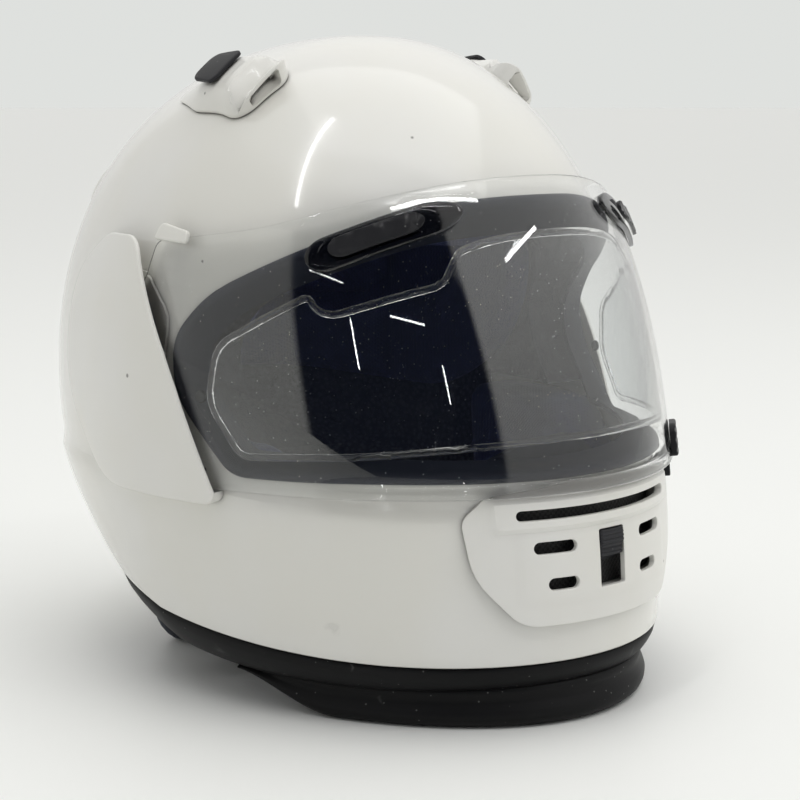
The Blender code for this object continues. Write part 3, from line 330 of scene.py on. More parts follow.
def slab(loops, thickness, radius=0.0, segments=3, cell=0.004, under=0.0):
    """Flat slab inside the first outline and outside the others, its rims rounded, cut into cells."""
    bm = bmesh.new()
    for points in loops:
        ring = [bm.verts.new((point.x, point.y, 0.0)) for point in points]
        if len(loops) == 1:
            bm.faces.new(ring)
        else:
            for first, second in zip(ring, ring[1:] + ring[:1]):
                bm.edges.new((first, second))
    if len(loops) > 1:
        bmesh.ops.triangle_fill(bm, use_beauty=True, use_dissolve=False, edges=bm.edges[:])
        inner = [edge for edge in bm.edges if len(edge.link_faces) == 2]
        bmesh.ops.dissolve_limit(bm, angle_limit=0.01, use_dissolve_boundaries=False, verts=[], edges=inner)
    top = bmesh.ops.extrude_face_region(bm, geom=bm.faces[:])["geom"]
    raised = [item for item in top if isinstance(item, bmesh.types.BMVert)]
    bmesh.ops.translate(bm, vec=(0, 0, thickness), verts=raised)
    bmesh.ops.recalc_face_normals(bm, faces=bm.faces)
    for level, size in ((thickness, radius), (0.0, under)):
        if size:
            rim = [edge for edge in bm.edges if abs(edge.verts[0].co.z - level) < 1e-7
                   and abs(edge.verts[1].co.z - level) < 1e-7 and edge.calc_face_angle(0.0) > 1.0]
            bevel(bm, rim, size, segments)
    return celled(bm, cell)


def sliced(bm, axis, levels):
    """Edges added where planes across an axis meet the shape."""
    normal = Matrix.Identity(3)[axis]
    for level in levels:
        bmesh.ops.bisect_plane(bm, geom=bm.verts[:] + bm.edges[:] + bm.faces[:], dist=1e-6,
                               plane_co=normal * level, plane_no=normal)
    return bm


def celled(bm, cell):
    """The flat shape cut along a square grid, so that it can bend."""
    for axis in (0, 1):
        values = [vert.co[axis] for vert in bm.verts]
        first, last = math.floor(min(values) / cell) + 1, math.ceil(max(values) / cell)
        sliced(bm, axis, [index * cell for index in range(first, last)])
    return bm


def bent(bm, thickness, lift_in, lift_out, view="side", side=1):
    """The flat shape bent onto the form between two lifts, and mirrored for the wearer's right."""
    for vert in bm.verts:
        phi, z = plan_point(vert.co.x, vert.co.y) if view == "top" else (vert.co.x / ARC, vert.co.y)
        low, high = lift_in(phi, z), lift_out(phi, z)
        vert.co = skin(phi, z, low + (high - low) * vert.co.z / thickness)
    if side < 0:
        bmesh.ops.scale(bm, vec=(-1, 1, 1), verts=bm.verts)
    return bm


def even(value):
    """A lift that is the same everywhere."""
    return lambda phi, z: value


def rim_distance(points):
    """How far a place lies from a line of points."""
    spans = list(zip(points, points[1:]))

    def measure(x, y):
        here = Vector((x, y))
        nearest = 1.0
        for start, end in spans:
            along = end - start
            share = min(max((here - start).dot(along) / max(along.length_squared, 1e-12), 0.0), 1.0)
            nearest = min(nearest, (here - start - along * share).length)
        return nearest
    return measure


def solid(name, bm):
    """Object from a finished bmesh, facing outwards."""
    bmesh.ops.remove_doubles(bm, verts=bm.verts, dist=1e-6)
    bmesh.ops.recalc_face_normals(bm, faces=bm.faces)
    mesh = bpy.data.meshes.new(name)
    bm.to_mesh(mesh)
    bm.free()
    made = bpy.data.objects.new(name, mesh)
    bpy.context.scene.collection.objects.link(made)
    return made


def settle(piece):
    """Apply the modifiers of a piece to its mesh."""
    graph = bpy.context.evaluated_depsgraph_get()
    mesh = bpy.data.meshes.new_from_object(piece.evaluated_get(graph))
    piece.modifiers.clear()
    piece.data = mesh


def cut(piece, bm, operation="DIFFERENCE"):
    """Cut or join with another closed shape."""
    tool = solid(piece.name + "_tool", bm)
    change = piece.modifiers.new("cut", "BOOLEAN")
    change.operation, change.solver, change.object = operation, "EXACT", tool
    settle(piece)
    bpy.data.objects.remove(tool, do_unlink=True)
    if not piece.data.polygons:
        raise RuntimeError("the cut left nothing of " + piece.name)


def finished(piece, finish, body, nodes=(), angle=38):
    """Give a piece its finish, shading and body, and hide the solids that it stands for."""
    piece.data.materials.clear()
    piece.data.materials.append(finish)
    piece.data.shade_smooth()
    piece.data.set_sharp_from_angle(angle=math.radians(angle))
    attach(piece, body)
    if nodes:
        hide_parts(*nodes)


def repaint(finish, *nodes):
    """A better finish on solids whose shape is right."""
    for name in nodes:
        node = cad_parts[name]
        for place in node.material_slots:
            place.material = finish


def bevelled(piece, width):
    """Small rounding on every sharp edge."""
    change = piece.modifiers.new("edges", "BEVEL")
    change.width, change.segments, change.limit_method = width, 2, "ANGLE"
    change.angle_limit = math.radians(40)
    settle(piece)
    return piece


def prism(points, axis, low, high):
    """Solid with a flat outline, run along an axis."""
    bm = bmesh.new()
    first, second = [other for other in range(3) if other != axis]
    ring = []
    for point in points:
        place = [0.0, 0.0, 0.0]
        place[first], place[second], place[axis] = point[0], point[1], low
        ring.append(bm.verts.new(place))
    moved = bmesh.ops.extrude_face_region(bm, geom=[bm.faces.new(ring)])["geom"]
    along = [high - low if other == axis else 0.0 for other in range(3)]
    bmesh.ops.translate(bm, vec=along, verts=[item for item in moved if isinstance(item, bmesh.types.BMVert)])
    return bm


def cylinder(radius, depth, centre, direction, sides=48, rim=0.0):
    """Solid cylinder with rounded rims."""
    bm = bmesh.new()
    bmesh.ops.create_cone(bm, cap_ends=True, segments=sides, radius1=radius, radius2=radius, depth=depth)
    if rim:
        edges = [edge for edge in bm.edges if edge.calc_face_angle(0.0) > 1.0]
        bmesh.ops.bevel(bm, geom=edges, offset=rim, offset_type="OFFSET", segments=3, profile=0.5,
                        affect="EDGES", material=-1)
    turn = Vector((0, 0, 1)).rotation_difference(Vector(direction)).to_matrix()
    bmesh.ops.rotate(bm, cent=(0, 0, 0), matrix=turn, verts=bm.verts)
    bmesh.ops.translate(bm, vec=centre, verts=bm.verts)
    return bm


def swept(section, start, end, steps):
    """Closed band round the helmet: section(phi) gives its corners as (z, lift) pairs."""
    bm = bmesh.new()
    loops = []
    full = end - start > 6.28
    for step in range(steps if full else steps + 1):
        phi = start + (end - start) * step / steps
        ring = [bm.verts.new(below(phi, z, lift)) for z, lift in section(phi)]
        loops.append([bm.edges.new((a, b)) for a, b in zip(ring, ring[1:] + ring[:1])])
    for first, second in zip(loops, loops[1:] + (loops[:1] if full else [])):
        bmesh.ops.bridge_loops(bm, edges=first + second)
    if not full:
        bmesh.ops.holes_fill(bm, edges=bm.edges, sides=0)
    return bm


def cup(lift_in, lift_out, rim_z, columns, rows):
    """Closed dome between two lifts, from the crown down to a rim, with more rows near the rim."""
    bm = bmesh.new()
    bmesh.ops.create_uvsphere(bm, u_segments=columns, v_segments=2 * rows, radius=1.0)
    bmesh.ops.delete(bm, geom=[vert for vert in bm.verts if vert.co.z < -1e-4], context="VERTS")
    outer = set(bm.verts)
    bmesh.ops.extrude_face_region(bm, geom=bm.faces[:])
    for vert in bm.verts:
        phi = math.atan2(vert.co.x, -vert.co.y)
        rise = min(vert.co.z, 1.0)
        rim = rim_z(phi)
        z = rim + (CROWN_Z - rim) * rise * (1.0 + ROW_CROWDING * (rise - 1.0))
        vert.co = skin(phi, z, (lift_out if vert in outer else lift_in)(phi, z))
    return bm


class Finish:
    """A material or group under construction: adds nodes and joins sockets."""

    def __init__(self, tree):
        self.tree = tree

    def add(self, kind, inputs=(), **settings):
        """New node of a kind, with its inputs joined and its settings made."""
        node = self.tree.nodes.new("ShaderNode" + kind)
        for name, value in settings.items():
            setattr(node, name, value)
        for name, value in dict(inputs).items():
            self.join(value, node.inputs[name])
        return node

    def join(self, value, socket):
        """Link a value to a socket, or set it there if it is constant."""
        if isinstance(value, bpy.types.NodeSocket):
            self.tree.links.new(value, socket)
        else:
            socket.default_value = value

    def math(self, operation, first, second=0.0, clamp=False):
        """Result of a sum of one or two values."""
        node = self.add("Math", operation=operation, use_clamp=clamp)
        self.join(first, node.inputs[0])
        self.join(second, node.inputs[1])
        return node.outputs[0]

    def times(self, first, second):
        """Product of two values."""
        return self.math("MULTIPLY", first, second)

    def inverse(self, value):
        """One less the value, kept from 0 to 1."""
        return self.math("SUBTRACT", 1.0, value, clamp=True)

    def ramp(self, factor, low, high):
        """Smooth change from 0 to 1 as a value goes from low to high."""
        node = self.add("MapRange", {"Value": factor, "From Min": low, "From Max": high},
                        interpolation_type="SMOOTHSTEP")
        return node.outputs["Result"]

    def mix(self, factor, first, second):
        """Colour between two others."""
        node = self.add("Mix", data_type="RGBA")
        for index, value in ((0, factor), (6, first), (7, second)):
            self.join(value, node.inputs[index])
        return node.outputs[2]


def group(name, outputs, **numbers):
    """Empty shader node group that takes a Vector and numbers, and puts out masks or heights."""
    tree = bpy.data.node_groups.new(name, "ShaderNodeTree")
    tree.interface.new_socket("Vector", in_out="INPUT", socket_type="NodeSocketVector")
    for label, value in numbers.items():
        tree.interface.new_socket(label, in_out="INPUT", socket_type="NodeSocketFloat").default_value = value
    for label in outputs:
        tree.interface.new_socket(label, in_out="OUTPUT", socket_type="NodeSocketFloat")
    given, result = tree.nodes.new("NodeGroupInput"), tree.nodes.new("NodeGroupOutput")
    return Finish(tree), given.outputs, result.inputs


def grain_group():
    """Fine moulded or sprayed surface: a height and a slow variation."""
    make, given, result = group("Fine Grain", ("Height", "Variation"), Scale=900.0)
    fine = make.add("TexNoise", {"Vector": given["Vector"], "Scale": given["Scale"], "Detail": 3.0})
    slow = make.add("TexNoise", {"Vector": given["Vector"], "Scale": 14.0, "Detail": 2.0})
    make.join(fine.outputs["Fac"], result["Height"])
    make.join(make.ramp(slow.outputs["Fac"], 0.35, 0.65), result["Variation"])
    return make.tree


def specks_group():
    """Scattered specks of dust and small chips."""
    make, given, result = group("Dust Specks", ("Mask",), Scale=260.0, Size=0.10, Amount=0.5)
    cells = make.add("TexVoronoi", {"Vector": given["Vector"], "Scale": given["Scale"]})
    patch = make.add("TexNoise", {"Vector": given["Vector"], "Scale": 22.0, "Detail": 3.0})
    chance = make.add("SeparateColor", {"Color": cells.outputs["Color"]})
    near = make.inverse(make.math("DIVIDE", cells.outputs["Distance"], given["Size"]))
    kept = make.math("LESS_THAN", chance.outputs[0], make.times(given["Amount"], patch.outputs["Fac"]))
    make.join(make.times(make.ramp(near, 0.0, 0.4), kept), result["Mask"])
    return make.tree


def scratches_group():
    """Thin straight scratches in a few directions."""
    make, given, result = group("Hairline Scratches", ("Mask",), Scale=60.0, Amount=0.5)
    total = 0.0
    for turn, length in ((0.5, 0.07), (1.9, 0.05), (2.7, 0.09)):
        place = make.add("Mapping", {"Vector": given["Vector"], "Rotation": (turn, turn * 1.7, turn),
                                     "Scale": (1.0, length, length)})
        streak = make.add("TexNoise", {"Vector": place.outputs[0], "Scale": given["Scale"], "Detail": 1.0,
                                       "Distortion": 0.1})
        line = make.math("ABSOLUTE", make.math("SUBTRACT", streak.outputs["Fac"], 0.5))
        total = make.math("MAXIMUM", total, make.inverse(make.ramp(line, 0.0, 0.006)))
    patch = make.add("TexNoise", {"Vector": given["Vector"], "Scale": 35.0, "Detail": 4.0})
    start = make.math("SUBTRACT", 0.72, make.times(given["Amount"], 0.2))
    make.join(make.times(total, make.ramp(patch.outputs["Fac"], start, 0.75)), result["Mask"])
    return make.tree


def weave_group():
    """Woven threads seen close: a height and the shade between threads."""
    make, given, result = group("Woven Threads", ("Height", "Shade"), Thread=1100.0)
    place = make.add("SeparateXYZ", {"Vector": given["Vector"]})
    waves = [make.math("SINE", make.times(place.outputs[axis], given["Thread"])) for axis in range(3)]
    height = make.math("ADD", make.times(waves[0], waves[1]), make.times(waves[1], waves[2]))
    soft = make.ramp(height, -1.2, 1.2)
    make.join(soft, result["Height"])
    blotch = make.add("TexNoise", {"Vector": given["Vector"], "Scale": 45.0, "Detail": 4.0})
    make.join(make.times(make.math("ADD", soft, 0.35), blotch.outputs["Fac"]), result["Shade"])
    return make.tree


GROUPS = {}


def effect(make, kind, vector, **values):
    """One of the shared effects, placed in a material with its own values."""
    makers = {"grain": grain_group, "specks": specks_group, "scratches": scratches_group,
              "weave": weave_group}
    if kind not in GROUPS:
        GROUPS[kind] = makers[kind]()
    node = make.tree.nodes.new("ShaderNodeGroup")
    node.node_tree = GROUPS[kind]
    make.join(vector, node.inputs["Vector"])
    for name, value in values.items():
        node.inputs[name].default_value = value
    return node.outputs


def started(name, roughness, metallic=0.0, **sockets):
    """New material with its builder, its shader's sockets and the piece's own coordinates."""
    made = bpy.data.materials.new(name)
    made.use_nodes = True
    make = Finish(made.node_tree)
    shader = made.node_tree.nodes["Principled BSDF"].inputs
    shader["Roughness"].default_value = roughness
    shader["Metallic"].default_value = metallic
    for label, value in sockets.items():
        shader[label.replace("_", " ")].default_value = value
    return made, make, shader, make.add("TexCoord").outputs["Object"]


def bump(make, shader, height, strength, distance=0.0002):
    """Small relief in the surface's normals."""
    node = make.add("Bump", {"Height": height, "Strength": strength, "Distance": distance})
    make.join(node.outputs["Normal"], shader["Normal"])


def painted(name, colour, dirt_and_shade, roughness, specks, coat):
    """White paint or satin plastic with a faint wave, specks, hairlines and painted shade in its corners."""
    made, make, shader, here = started(name, roughness, Coat_Weight=coat, Coat_Roughness=0.05)
    grain = effect(make, "grain", here, Scale=420.0)
    dust = effect(make, "specks", here, Scale=150.0, Size=0.16, Amount=specks)
    hair = effect(make, "scratches", here, Scale=40.0, Amount=0.12)
    # Painted shade: an ambient occlusion mask darkens corners, gaps and edges beside other pieces towards the
    # dark dust colour.
    corner = make.add("AmbientOcclusion", {"Distance": 0.0035}, samples=6)
    painted_corner_shade = make.inverse(make.ramp(corner.outputs["AO"], 0.30, 0.80))
    warm = tuple(value * share for value, share in zip(colour[:3], (0.985, 0.98, 0.955))) + (1.0,)
    base = make.mix(grain["Variation"], colour, warm)
    for mask, strength in ((dust["Mask"], 0.75), (hair["Mask"], 0.18), (painted_corner_shade, 0.80)):
        base = make.mix(make.times(mask, strength), base, dirt_and_shade)
    make.join(base, shader["Base Color"])
    make.join(make.math("ADD", roughness, make.times(hair["Mask"], 0.15)), shader["Roughness"])
    bump(make, shader, grain["Height"], 0.02)
    return made


def moulded(name, colour, worn, roughness, grain_scale, amount, height=0.12):
    """Black rubber or dark plastic with a moulded grain, dust and light scuffs."""
    made, make, shader, here = started(name, roughness, Specular_IOR_Level=0.13)
    grain = effect(make, "grain", here, Scale=grain_scale)
    dust = effect(make, "specks", here, Scale=420.0, Size=0.2, Amount=0.25)
    hair = effect(make, "scratches", here, Scale=34.0, Amount=amount)
    base = make.mix(make.times(grain["Variation"], 0.4), colour, worn)
    marks = make.math("ADD", make.times(dust["Mask"], 0.25), make.times(hair["Mask"], 0.3), clamp=True)
    make.join(make.mix(marks, base, (0.32, 0.32, 0.31, 1.0)), shader["Base Color"])
    make.join(make.math("ADD", roughness, make.times(grain["Variation"], 0.08)), shader["Roughness"])
    bump(make, shader, grain["Height"], height)
    return made


def cloth(name, colour, light, thread, sheen):
    """Woven lining or webbing."""
    made, make, shader, here = started(name, 0.85, Sheen_Weight=sheen, Sheen_Roughness=0.4,
                                       Sheen_Tint=(0.5, 0.55, 0.75, 1.0))
    weave = effect(make, "weave", here, Thread=thread)
    dust = effect(make, "specks", here, Scale=300.0, Size=0.16, Amount=0.5)
    base = make.mix(weave["Shade"], colour, light)
    base = make.mix(make.times(dust["Mask"], 0.35), base, (0.35, 0.36, 0.38, 1.0))
    make.join(base, shader["Base Color"])
    bump(make, shader, weave["Height"], 0.45, 0.0004)
    return made


def lens(name, tint, roughness, marks):
    """Clear or smoke polycarbonate, with hairlines and dust that catch the light."""
    made, make, shader, here = started(name, roughness, Transmission_Weight=1.0, IOR=1.47, Base_Color=tint)
    dust = effect(make, "specks", here, Scale=420.0, Size=0.12, Amount=0.4)
    hair = effect(make, "scratches", here, Scale=30.0, Amount=0.5)
    grain = effect(make, "grain", here, Scale=60.0)
    haze = make.times(make.math("ADD", dust["Mask"], make.times(hair["Mask"], 0.5)), marks)
    make.join(make.math("ADD", roughness, haze), shader["Roughness"])
    bump(make, shader, grain["Height"], 0.01)
    return made


def foam(name):
    """Dark expanded foam with its beads showing."""
    made, make, shader, here = started(name, 0.9)
    beads = make.add("TexVoronoi", {"Vector": here, "Scale": 380.0})
    base = make.mix(make.ramp(beads.outputs["Distance"], 0.1, 0.7), (0.05, 0.05, 0.055, 1),
                    (0.02, 0.02, 0.022, 1))
    make.join(base, shader["Base Color"])
    bump(make, shader, make.math("SUBTRACT", 1.0, beads.outputs["Distance"]), 0.4, 0.0006)
    return made


def steel(name):
    """Plated steel with a fine drawn grain."""
    made, make, shader, here = started(name, 0.25, 1.0)
    place = make.add("Mapping", {"Vector": here, "Scale": (1.0, 14.0, 1.0)})
    grain = effect(make, "grain", place.outputs[0], Scale=260.0)
    base = make.mix(grain["Variation"], (0.66, 0.66, 0.67, 1), (0.48, 0.48, 0.49, 1))
    make.join(base, shader["Base Color"])
    make.join(make.math("ADD", 0.2, make.times(grain["Height"], 0.2)), shader["Roughness"])
    bump(make, shader, grain["Height"], 0.05)
    return made


def mesh_screen(name):
    """Dark plate with a fine pattern of holes."""
    made, make, shader, here = started(name, 0.6)
    place = make.add("SeparateXYZ", {"Vector": here})
    rows, columns = (make.math("SINE", make.times(place.outputs[axis], 2600.0)) for axis in ("X", "Z"))
    holes = make.ramp(make.times(rows, columns), -0.3, 0.5)
    make.join(make.mix(holes, (0.02, 0.02, 0.02, 1), (0.004, 0.004, 0.004, 1)), shader["Base Color"])
    bump(make, shader, holes, 0.5, 0.0005)
    return made


MADE = {}


def finish(name):
    """One of the helmet's finishes, made the first time that it is asked for."""
    tone = bpy.context.scene.helmet_colours
    # Dark colour of dust and hairline marks, also used for the painted shade in corners.
    dirt_and_shade = (0.10, 0.09, 0.08, 1)
    makers = {
        "shell paint": lambda: painted("Gloss White Paint", tone.paint, dirt_and_shade, 0.16, 0.03, 0.6),
        "white plastic": lambda: painted("Satin White Plastic", tone.plastic, dirt_and_shade, 0.30, 0.05, 0.15),
        "rubber": lambda: moulded("Black Edge Rubber", tone.rubber, (0.012, 0.012, 0.013, 1), 0.42, 900.0,
                                  0.6),
        "gasket": lambda: moulded("Eye Port Rubber", (0.026, 0.029, 0.040, 1), (0.056, 0.060, 0.076, 1), 0.6,
                                  700.0, 0.1),
        "dark plastic": lambda: moulded("Dark Plastic", tone.fittings, (0.05, 0.05, 0.055, 1), 0.38, 1200.0,
                                        0.3),
        "lining": lambda: cloth("Navy Lining", tone.lining, (0.032, 0.042, 0.15, 1), 3000.0, 0.25),
        # Painted shade: the nape cloth is near black so that the roll under the band reads as the shadow
        # there.
        "shade dark nape cloth": lambda: cloth("Nape Cloth Dark As Painted Shade", (0.006, 0.007, 0.010, 1), (0.018, 0.020, 0.028, 1),
                                    2600.0, 0.15),
        "gloss black": lambda: moulded("Gloss Black Plastic", tone.fittings, (0.03, 0.03, 0.032, 1), 0.12,
                                       1500.0, 0.2, 0.02),
        "webbing": lambda: cloth("Black Webbing", (0.012, 0.012, 0.013, 1), (0.04, 0.04, 0.043, 1), 2200.0,
                                 0.1),
        "clear": lambda: lens("Clear Shield", (0.985, 0.99, 0.985, 1), 0.0, 0.3),
        "insert": lambda: lens("Clear Insert", (0.93, 0.945, 0.95, 1), 0.02, 0.3),
        "bead": lambda: lens("Clear Bead", (0.98, 0.985, 0.985, 1), 0.12, 0.2),
        "smoke": lambda: lens("Smoke Lens", tone.smoke, 0.06, 0.3),
        "foam": lambda: foam("Liner Foam"),
        "steel": lambda: steel("Plated Steel"),
        "screen": lambda: mesh_screen("Vent Screen"),
    }
    if name not in MADE:
        MADE[name] = makers[name]()
    return MADE[name]


class HelmetSizes(bpy.types.PropertyGroup):
    """Sizes of the finishing work, in metres."""

    shell_lip: bpy.props.FloatProperty(
        name="Shell Lip", description="Rounding of the shell's lower edge", default=0.0014,
        subtype="DISTANCE")
    ledge: bpy.props.FloatProperty(
        name="Ledge", description="Step in the shell under the shield", default=0.0019, subtype="DISTANCE")
    lens_edge: bpy.props.FloatProperty(
        name="Lens Edge", description="Rounding of the shield's edge", default=0.0006, subtype="DISTANCE")
    bead: bpy.props.FloatProperty(
        name="Bead", description="Width of the insert's sealing bead", default=0.0028, subtype="DISTANCE")
    pod_edge: bpy.props.FloatProperty(
        name="Pod Edge", description="Rounding of the side pods' edge", default=0.0008, subtype="DISTANCE")
    plateau: bpy.props.FloatProperty(
        name="Plateau", description="Raised panel round the long chin slot", default=0.0014,
        subtype="DISTANCE")
    gasket_lip: bpy.props.FloatProperty(
        name="Gasket Lip", description="Width of the rubber inside the eye port", default=0.0060,
        subtype="DISTANCE")
    pad_puff: bpy.props.FloatProperty(
        name="Pad Puff", description="Most that a pad may swell", default=0.004, subtype="DISTANCE")


class HelmetColours(bpy.types.PropertyGroup):
    """Colours of the finishes."""

    paint: bpy.props.FloatVectorProperty(
        name="Paint", description="Gloss paint of the shell", size=4, subtype="COLOR",
        default=(0.755, 0.748, 0.715, 1.0), min=0.0, max=1.0)
    plastic: bpy.props.FloatVectorProperty(
        name="Plastic", description="Satin white of pods, ducts and chin cover", size=4, subtype="COLOR",
        default=(0.765, 0.758, 0.728, 1.0), min=0.0, max=1.0)
    rubber: bpy.props.FloatVectorProperty(
        name="Rubber", description="Band and skirt under the shell", size=4, subtype="COLOR",
        default=(0.006, 0.006, 0.0065, 1.0), min=0.0, max=1.0)
    fittings: bpy.props.FloatVectorProperty(
        name="Fittings", description="Dark plastic fittings", size=4, subtype="COLOR",
        default=(0.02, 0.02, 0.022, 1.0), min=0.0, max=1.0)
    lining: bpy.props.FloatVectorProperty(
        name="Lining", description="Woven lining", size=4, subtype="COLOR",
        default=(0.016, 0.022, 0.085, 1.0), min=0.0, max=1.0)
    smoke: bpy.props.FloatVectorProperty(
        name="Smoke", description="Smoke lens", size=4, subtype="COLOR",
        default=(0.16, 0.16, 0.17, 1.0), min=0.0, max=1.0)


class StudioSettings(bpy.types.PropertyGroup):
    """Camera and light."""

    lens: bpy.props.FloatProperty(
        name="Lens", description="Focal length", default=84.4, unit="CAMERA")
    distance: bpy.props.FloatProperty(
        name="Distance", description="Camera to target", default=0.8817, subtype="DISTANCE")
    backdrop: bpy.props.FloatVectorProperty(
        name="Backdrop", description="Pale ground behind the helmet", size=3, subtype="COLOR",
        default=(0.86, 0.865, 0.845), min=0.0, max=1.0)
    horizon: bpy.props.FloatVectorProperty(
        name="Horizon", description="Backdrop where the floor ends", size=4, subtype="COLOR",
        default=(0.74, 0.755, 0.735, 1.0), min=0.0, max=1.0)
    fill: bpy.props.FloatProperty(
        name="Fill", description="Strength of the all round light", default=0.86, min=0.0)
    key: bpy.props.FloatProperty(
        name="Key", description="Strength of the overhead light", default=6.0, min=0.0, unit="POWER")


def sizes():
    """The sizes set in the scene."""
    return bpy.context.scene.helmet_sizes


def shield_lift(phi, z):
    """Lift of the shield's outer face."""
    share = blend(abs(phi), math.radians(48), math.radians(84))
    return SHIELD_FRONT + (SHIELD_SIDE - SHIELD_FRONT) * share


def above_shield(rise):
    """A lift that stands a rise over the shield."""
    return lambda phi, z: shield_lift(phi, z) + rise


class HELMET_OT_shell(bpy.types.Operator):
    """Painted shell with its lip, ledge, eye port and chin window"""

    bl_idname = "helmet.shell"
    bl_label = "Shell"
    bl_options = {"REGISTER", "UNDO"}

    def execute(self, context):
        def relief(phi, z):
            return sizes().ledge * blend(0.0972 - z, 0.0, 0.0018) * blend(z, 0.058, 0.0965)

        bm = cup(even(-SHELL_WALL), relief, edge_z, 168, 46)
        sliced(bm, 2, LEDGE_LEVELS)
        bmesh.ops.recalc_face_normals(bm, faces=bm.faces)
        rim = [edge for edge in bm.edges if edge.calc_face_angle(0.0) > 0.9 and edge.verts[0].co.z < 0.06]
        bevel(bm, rim, sizes().shell_lip)
        shell = solid("shell_painted", bm)
        cut(shell, prism(rounded(EYE_PORT), 0, -0.3, 0.3))
        cut(shell, prism(rounded(CHIN_WINDOW), 1, -0.3, -0.05))
        finished(shell, finish("shell paint"), "helmet", ["outer_shell"], 30)
        return {"FINISHED"}


class HELMET_OT_gasket(bpy.types.Operator):
    """Rubber frame round the eye port, with its lip inside"""

    bl_idname = "helmet.gasket"
    bl_label = "Eye Port Gasket"
    bl_options = {"REGISTER", "UNDO"}

    def execute(self, context):
        port = wrapped(EYE_PORT)
        lip = sizes().gasket_lip
        profile = [(0.0025, 0.0005), (0.0025, 0.0014), (0.0015, 0.0023), (-0.0006, 0.0023), (-0.0016, 0.0012),
                   (-0.0030, -0.0020), (-lip * 0.7, -0.0060), (-lip, -0.0105), (-lip - 0.001, -0.0125),
                   (-lip + 0.0016, -0.0125), (-0.0022, -0.0052), (-0.0006, -0.0008), (-0.0004, 0.0005)]
        bm = bmesh.new()
        rings = []
        for grow, lift in profile:
            ring = [bm.verts.new(skin(p.x / ARC, p.y, lift)) for p in grown(port, grow)]
            rings.append([bm.edges.new((a, b)) for a, b in zip(ring, ring[1:] + ring[:1])])
        for first, second in zip(rings, rings[1:] + rings[:1]):
            bmesh.ops.bridge_loops(bm, edges=first + second)
        finished(solid("eye_port_gasket", bm), finish("gasket"), "helmet", ["eyeport_gasket"],
                 60)
        return {"FINISHED"}


class HELMET_OT_shield(bpy.types.Operator):
    """Clear shield, its inner insert with a sealing bead, and the two insert pins"""

    bl_idname = "helmet.shield"
    bl_label = "Shield"
    bl_options = {"REGISTER", "UNDO"}

    def execute(self, context):
        hole = [Vector((PIVOT_Y + HUB_HOLE * math.cos(turn * math.pi / 24),
                        PIVOT_Z + HUB_HOLE * math.sin(turn * math.pi / 24))) for turn in range(48)]
        holes = [[Vector((side * seen_angle(point, "side") * ARC, point.y)) for point in hole]
                 for label, side in SIDES]
        bm = slab([wrapped(SHIELD)] + holes, SHIELD_WALL, sizes().lens_edge, 3, 0.0045, sizes().lens_edge)
        sliced(bm, 1, SHIELD_RIM_LEVELS)

        def face(phi, z):
            ahead = 1.0 - blend(abs(phi), math.radians(40), math.radians(58))
            return shield_lift(phi, z) + 0.0007 * ahead * blend(0.1042 - z, 0.0, 0.0012)

        bent(bm, SHIELD_WALL, above_shield(-SHIELD_WALL), face)
        finished(solid("shield_lens", bm), finish("clear"), "shield", ["shield"], 60)
        outline = wrapped(INSERT)
        low, high = -SHIELD_WALL - GAP - INSERT_WALL, -SHIELD_WALL - GAP
        bm = slab([grown(outline, -sizes().bead - 0.0001)], INSERT_WALL, 0.0, 2, 0.005)
        bent(bm, INSERT_WALL, above_shield(low), above_shield(high))
        finished(solid("insert_lens", bm), finish("insert"), "shield", ["anti_fog_insert"],
                 60)
        bm = slab([outline, grown(outline, -sizes().bead)], BEAD_WALL, 0.0005, 3, 0.006, 0.0005)
        under = -SHIELD_WALL - 0.0001
        bent(bm, BEAD_WALL, above_shield(under - BEAD_WALL), above_shield(under))
        finished(solid("insert_bead", bm), finish("bead"), "shield", (), 60)
        for label, side in SIDES:
            phi = seen_angle(Vector((PIN_Y, PIN_Z)), "side")
            lift = shield_lift(phi, PIN_Z) - SHIELD_WALL - 0.0016
            centre, along = skin(phi, PIN_Z, lift), outward(phi, PIN_Z)
            bm = cylinder(PIN_RADIUS, PIN_HEIGHT, (side * centre.x, centre.y, centre.z),
                          (side * along.x, along.y, along.z), 32, 0.0006)
            finished(solid("pin_insert_" + label, bm), finish("gloss black"), "shield",
                     ["insert_pin_" + label])
        return {"FINISHED"}


class HELMET_OT_brow_vents(bpy.types.Operator):
    """Smoke vents on the shield with their sliding shutters"""

    bl_idname = "helmet.brow_vents"
    bl_label = "Brow Vents"
    bl_options = {"REGISTER", "UNDO"}

    def execute(self, context):
        outline, groove, cap = (laid(turned_bar(*BROW_VENT, length, width, BROW_SLOPE), "side")
                                for length, width in ((0.0185, 0.0068), (0.0145, 0.0050), (0.0115, 0.0042)))
        for label, side in SIDES:
            bm = slab([outline], BROW_WALL, 0.0008, 3, 0.003)
            bent(bm, BROW_WALL, above_shield(GAP), above_shield(GAP + BROW_WALL), side=side)
            base = solid("brow_vent_" + label, bm)
            bm = slab([groove], 0.002, 0.0, 2, 0.004)
            bent(bm, 0.002, above_shield(GAP + 0.0014), above_shield(GAP + 0.0034), side=side)
            cut(base, bm)
            finished(base, finish("smoke"), "shield", ["brow_vent_base_" + label])
            rise = GAP + BROW_WALL + 0.0010
            bm = slab([cap], CAP_WALL, 0.0005, 3, 0.003)
            for vert in bm.verts:
                vert.co.z += 0.00035 * math.sin(vert.co.x * 2600.0) * blend(vert.co.z, 0.0009, CAP_WALL)
            bent(bm, CAP_WALL, above_shield(rise), above_shield(rise + CAP_WALL), side=side)
            finished(solid("brow_shutter_cap_" + label, bm), finish("gloss black"), "brow_shutter_" + label,
                     ["brow_vent_shutter_" + label])
        return {"FINISHED"}


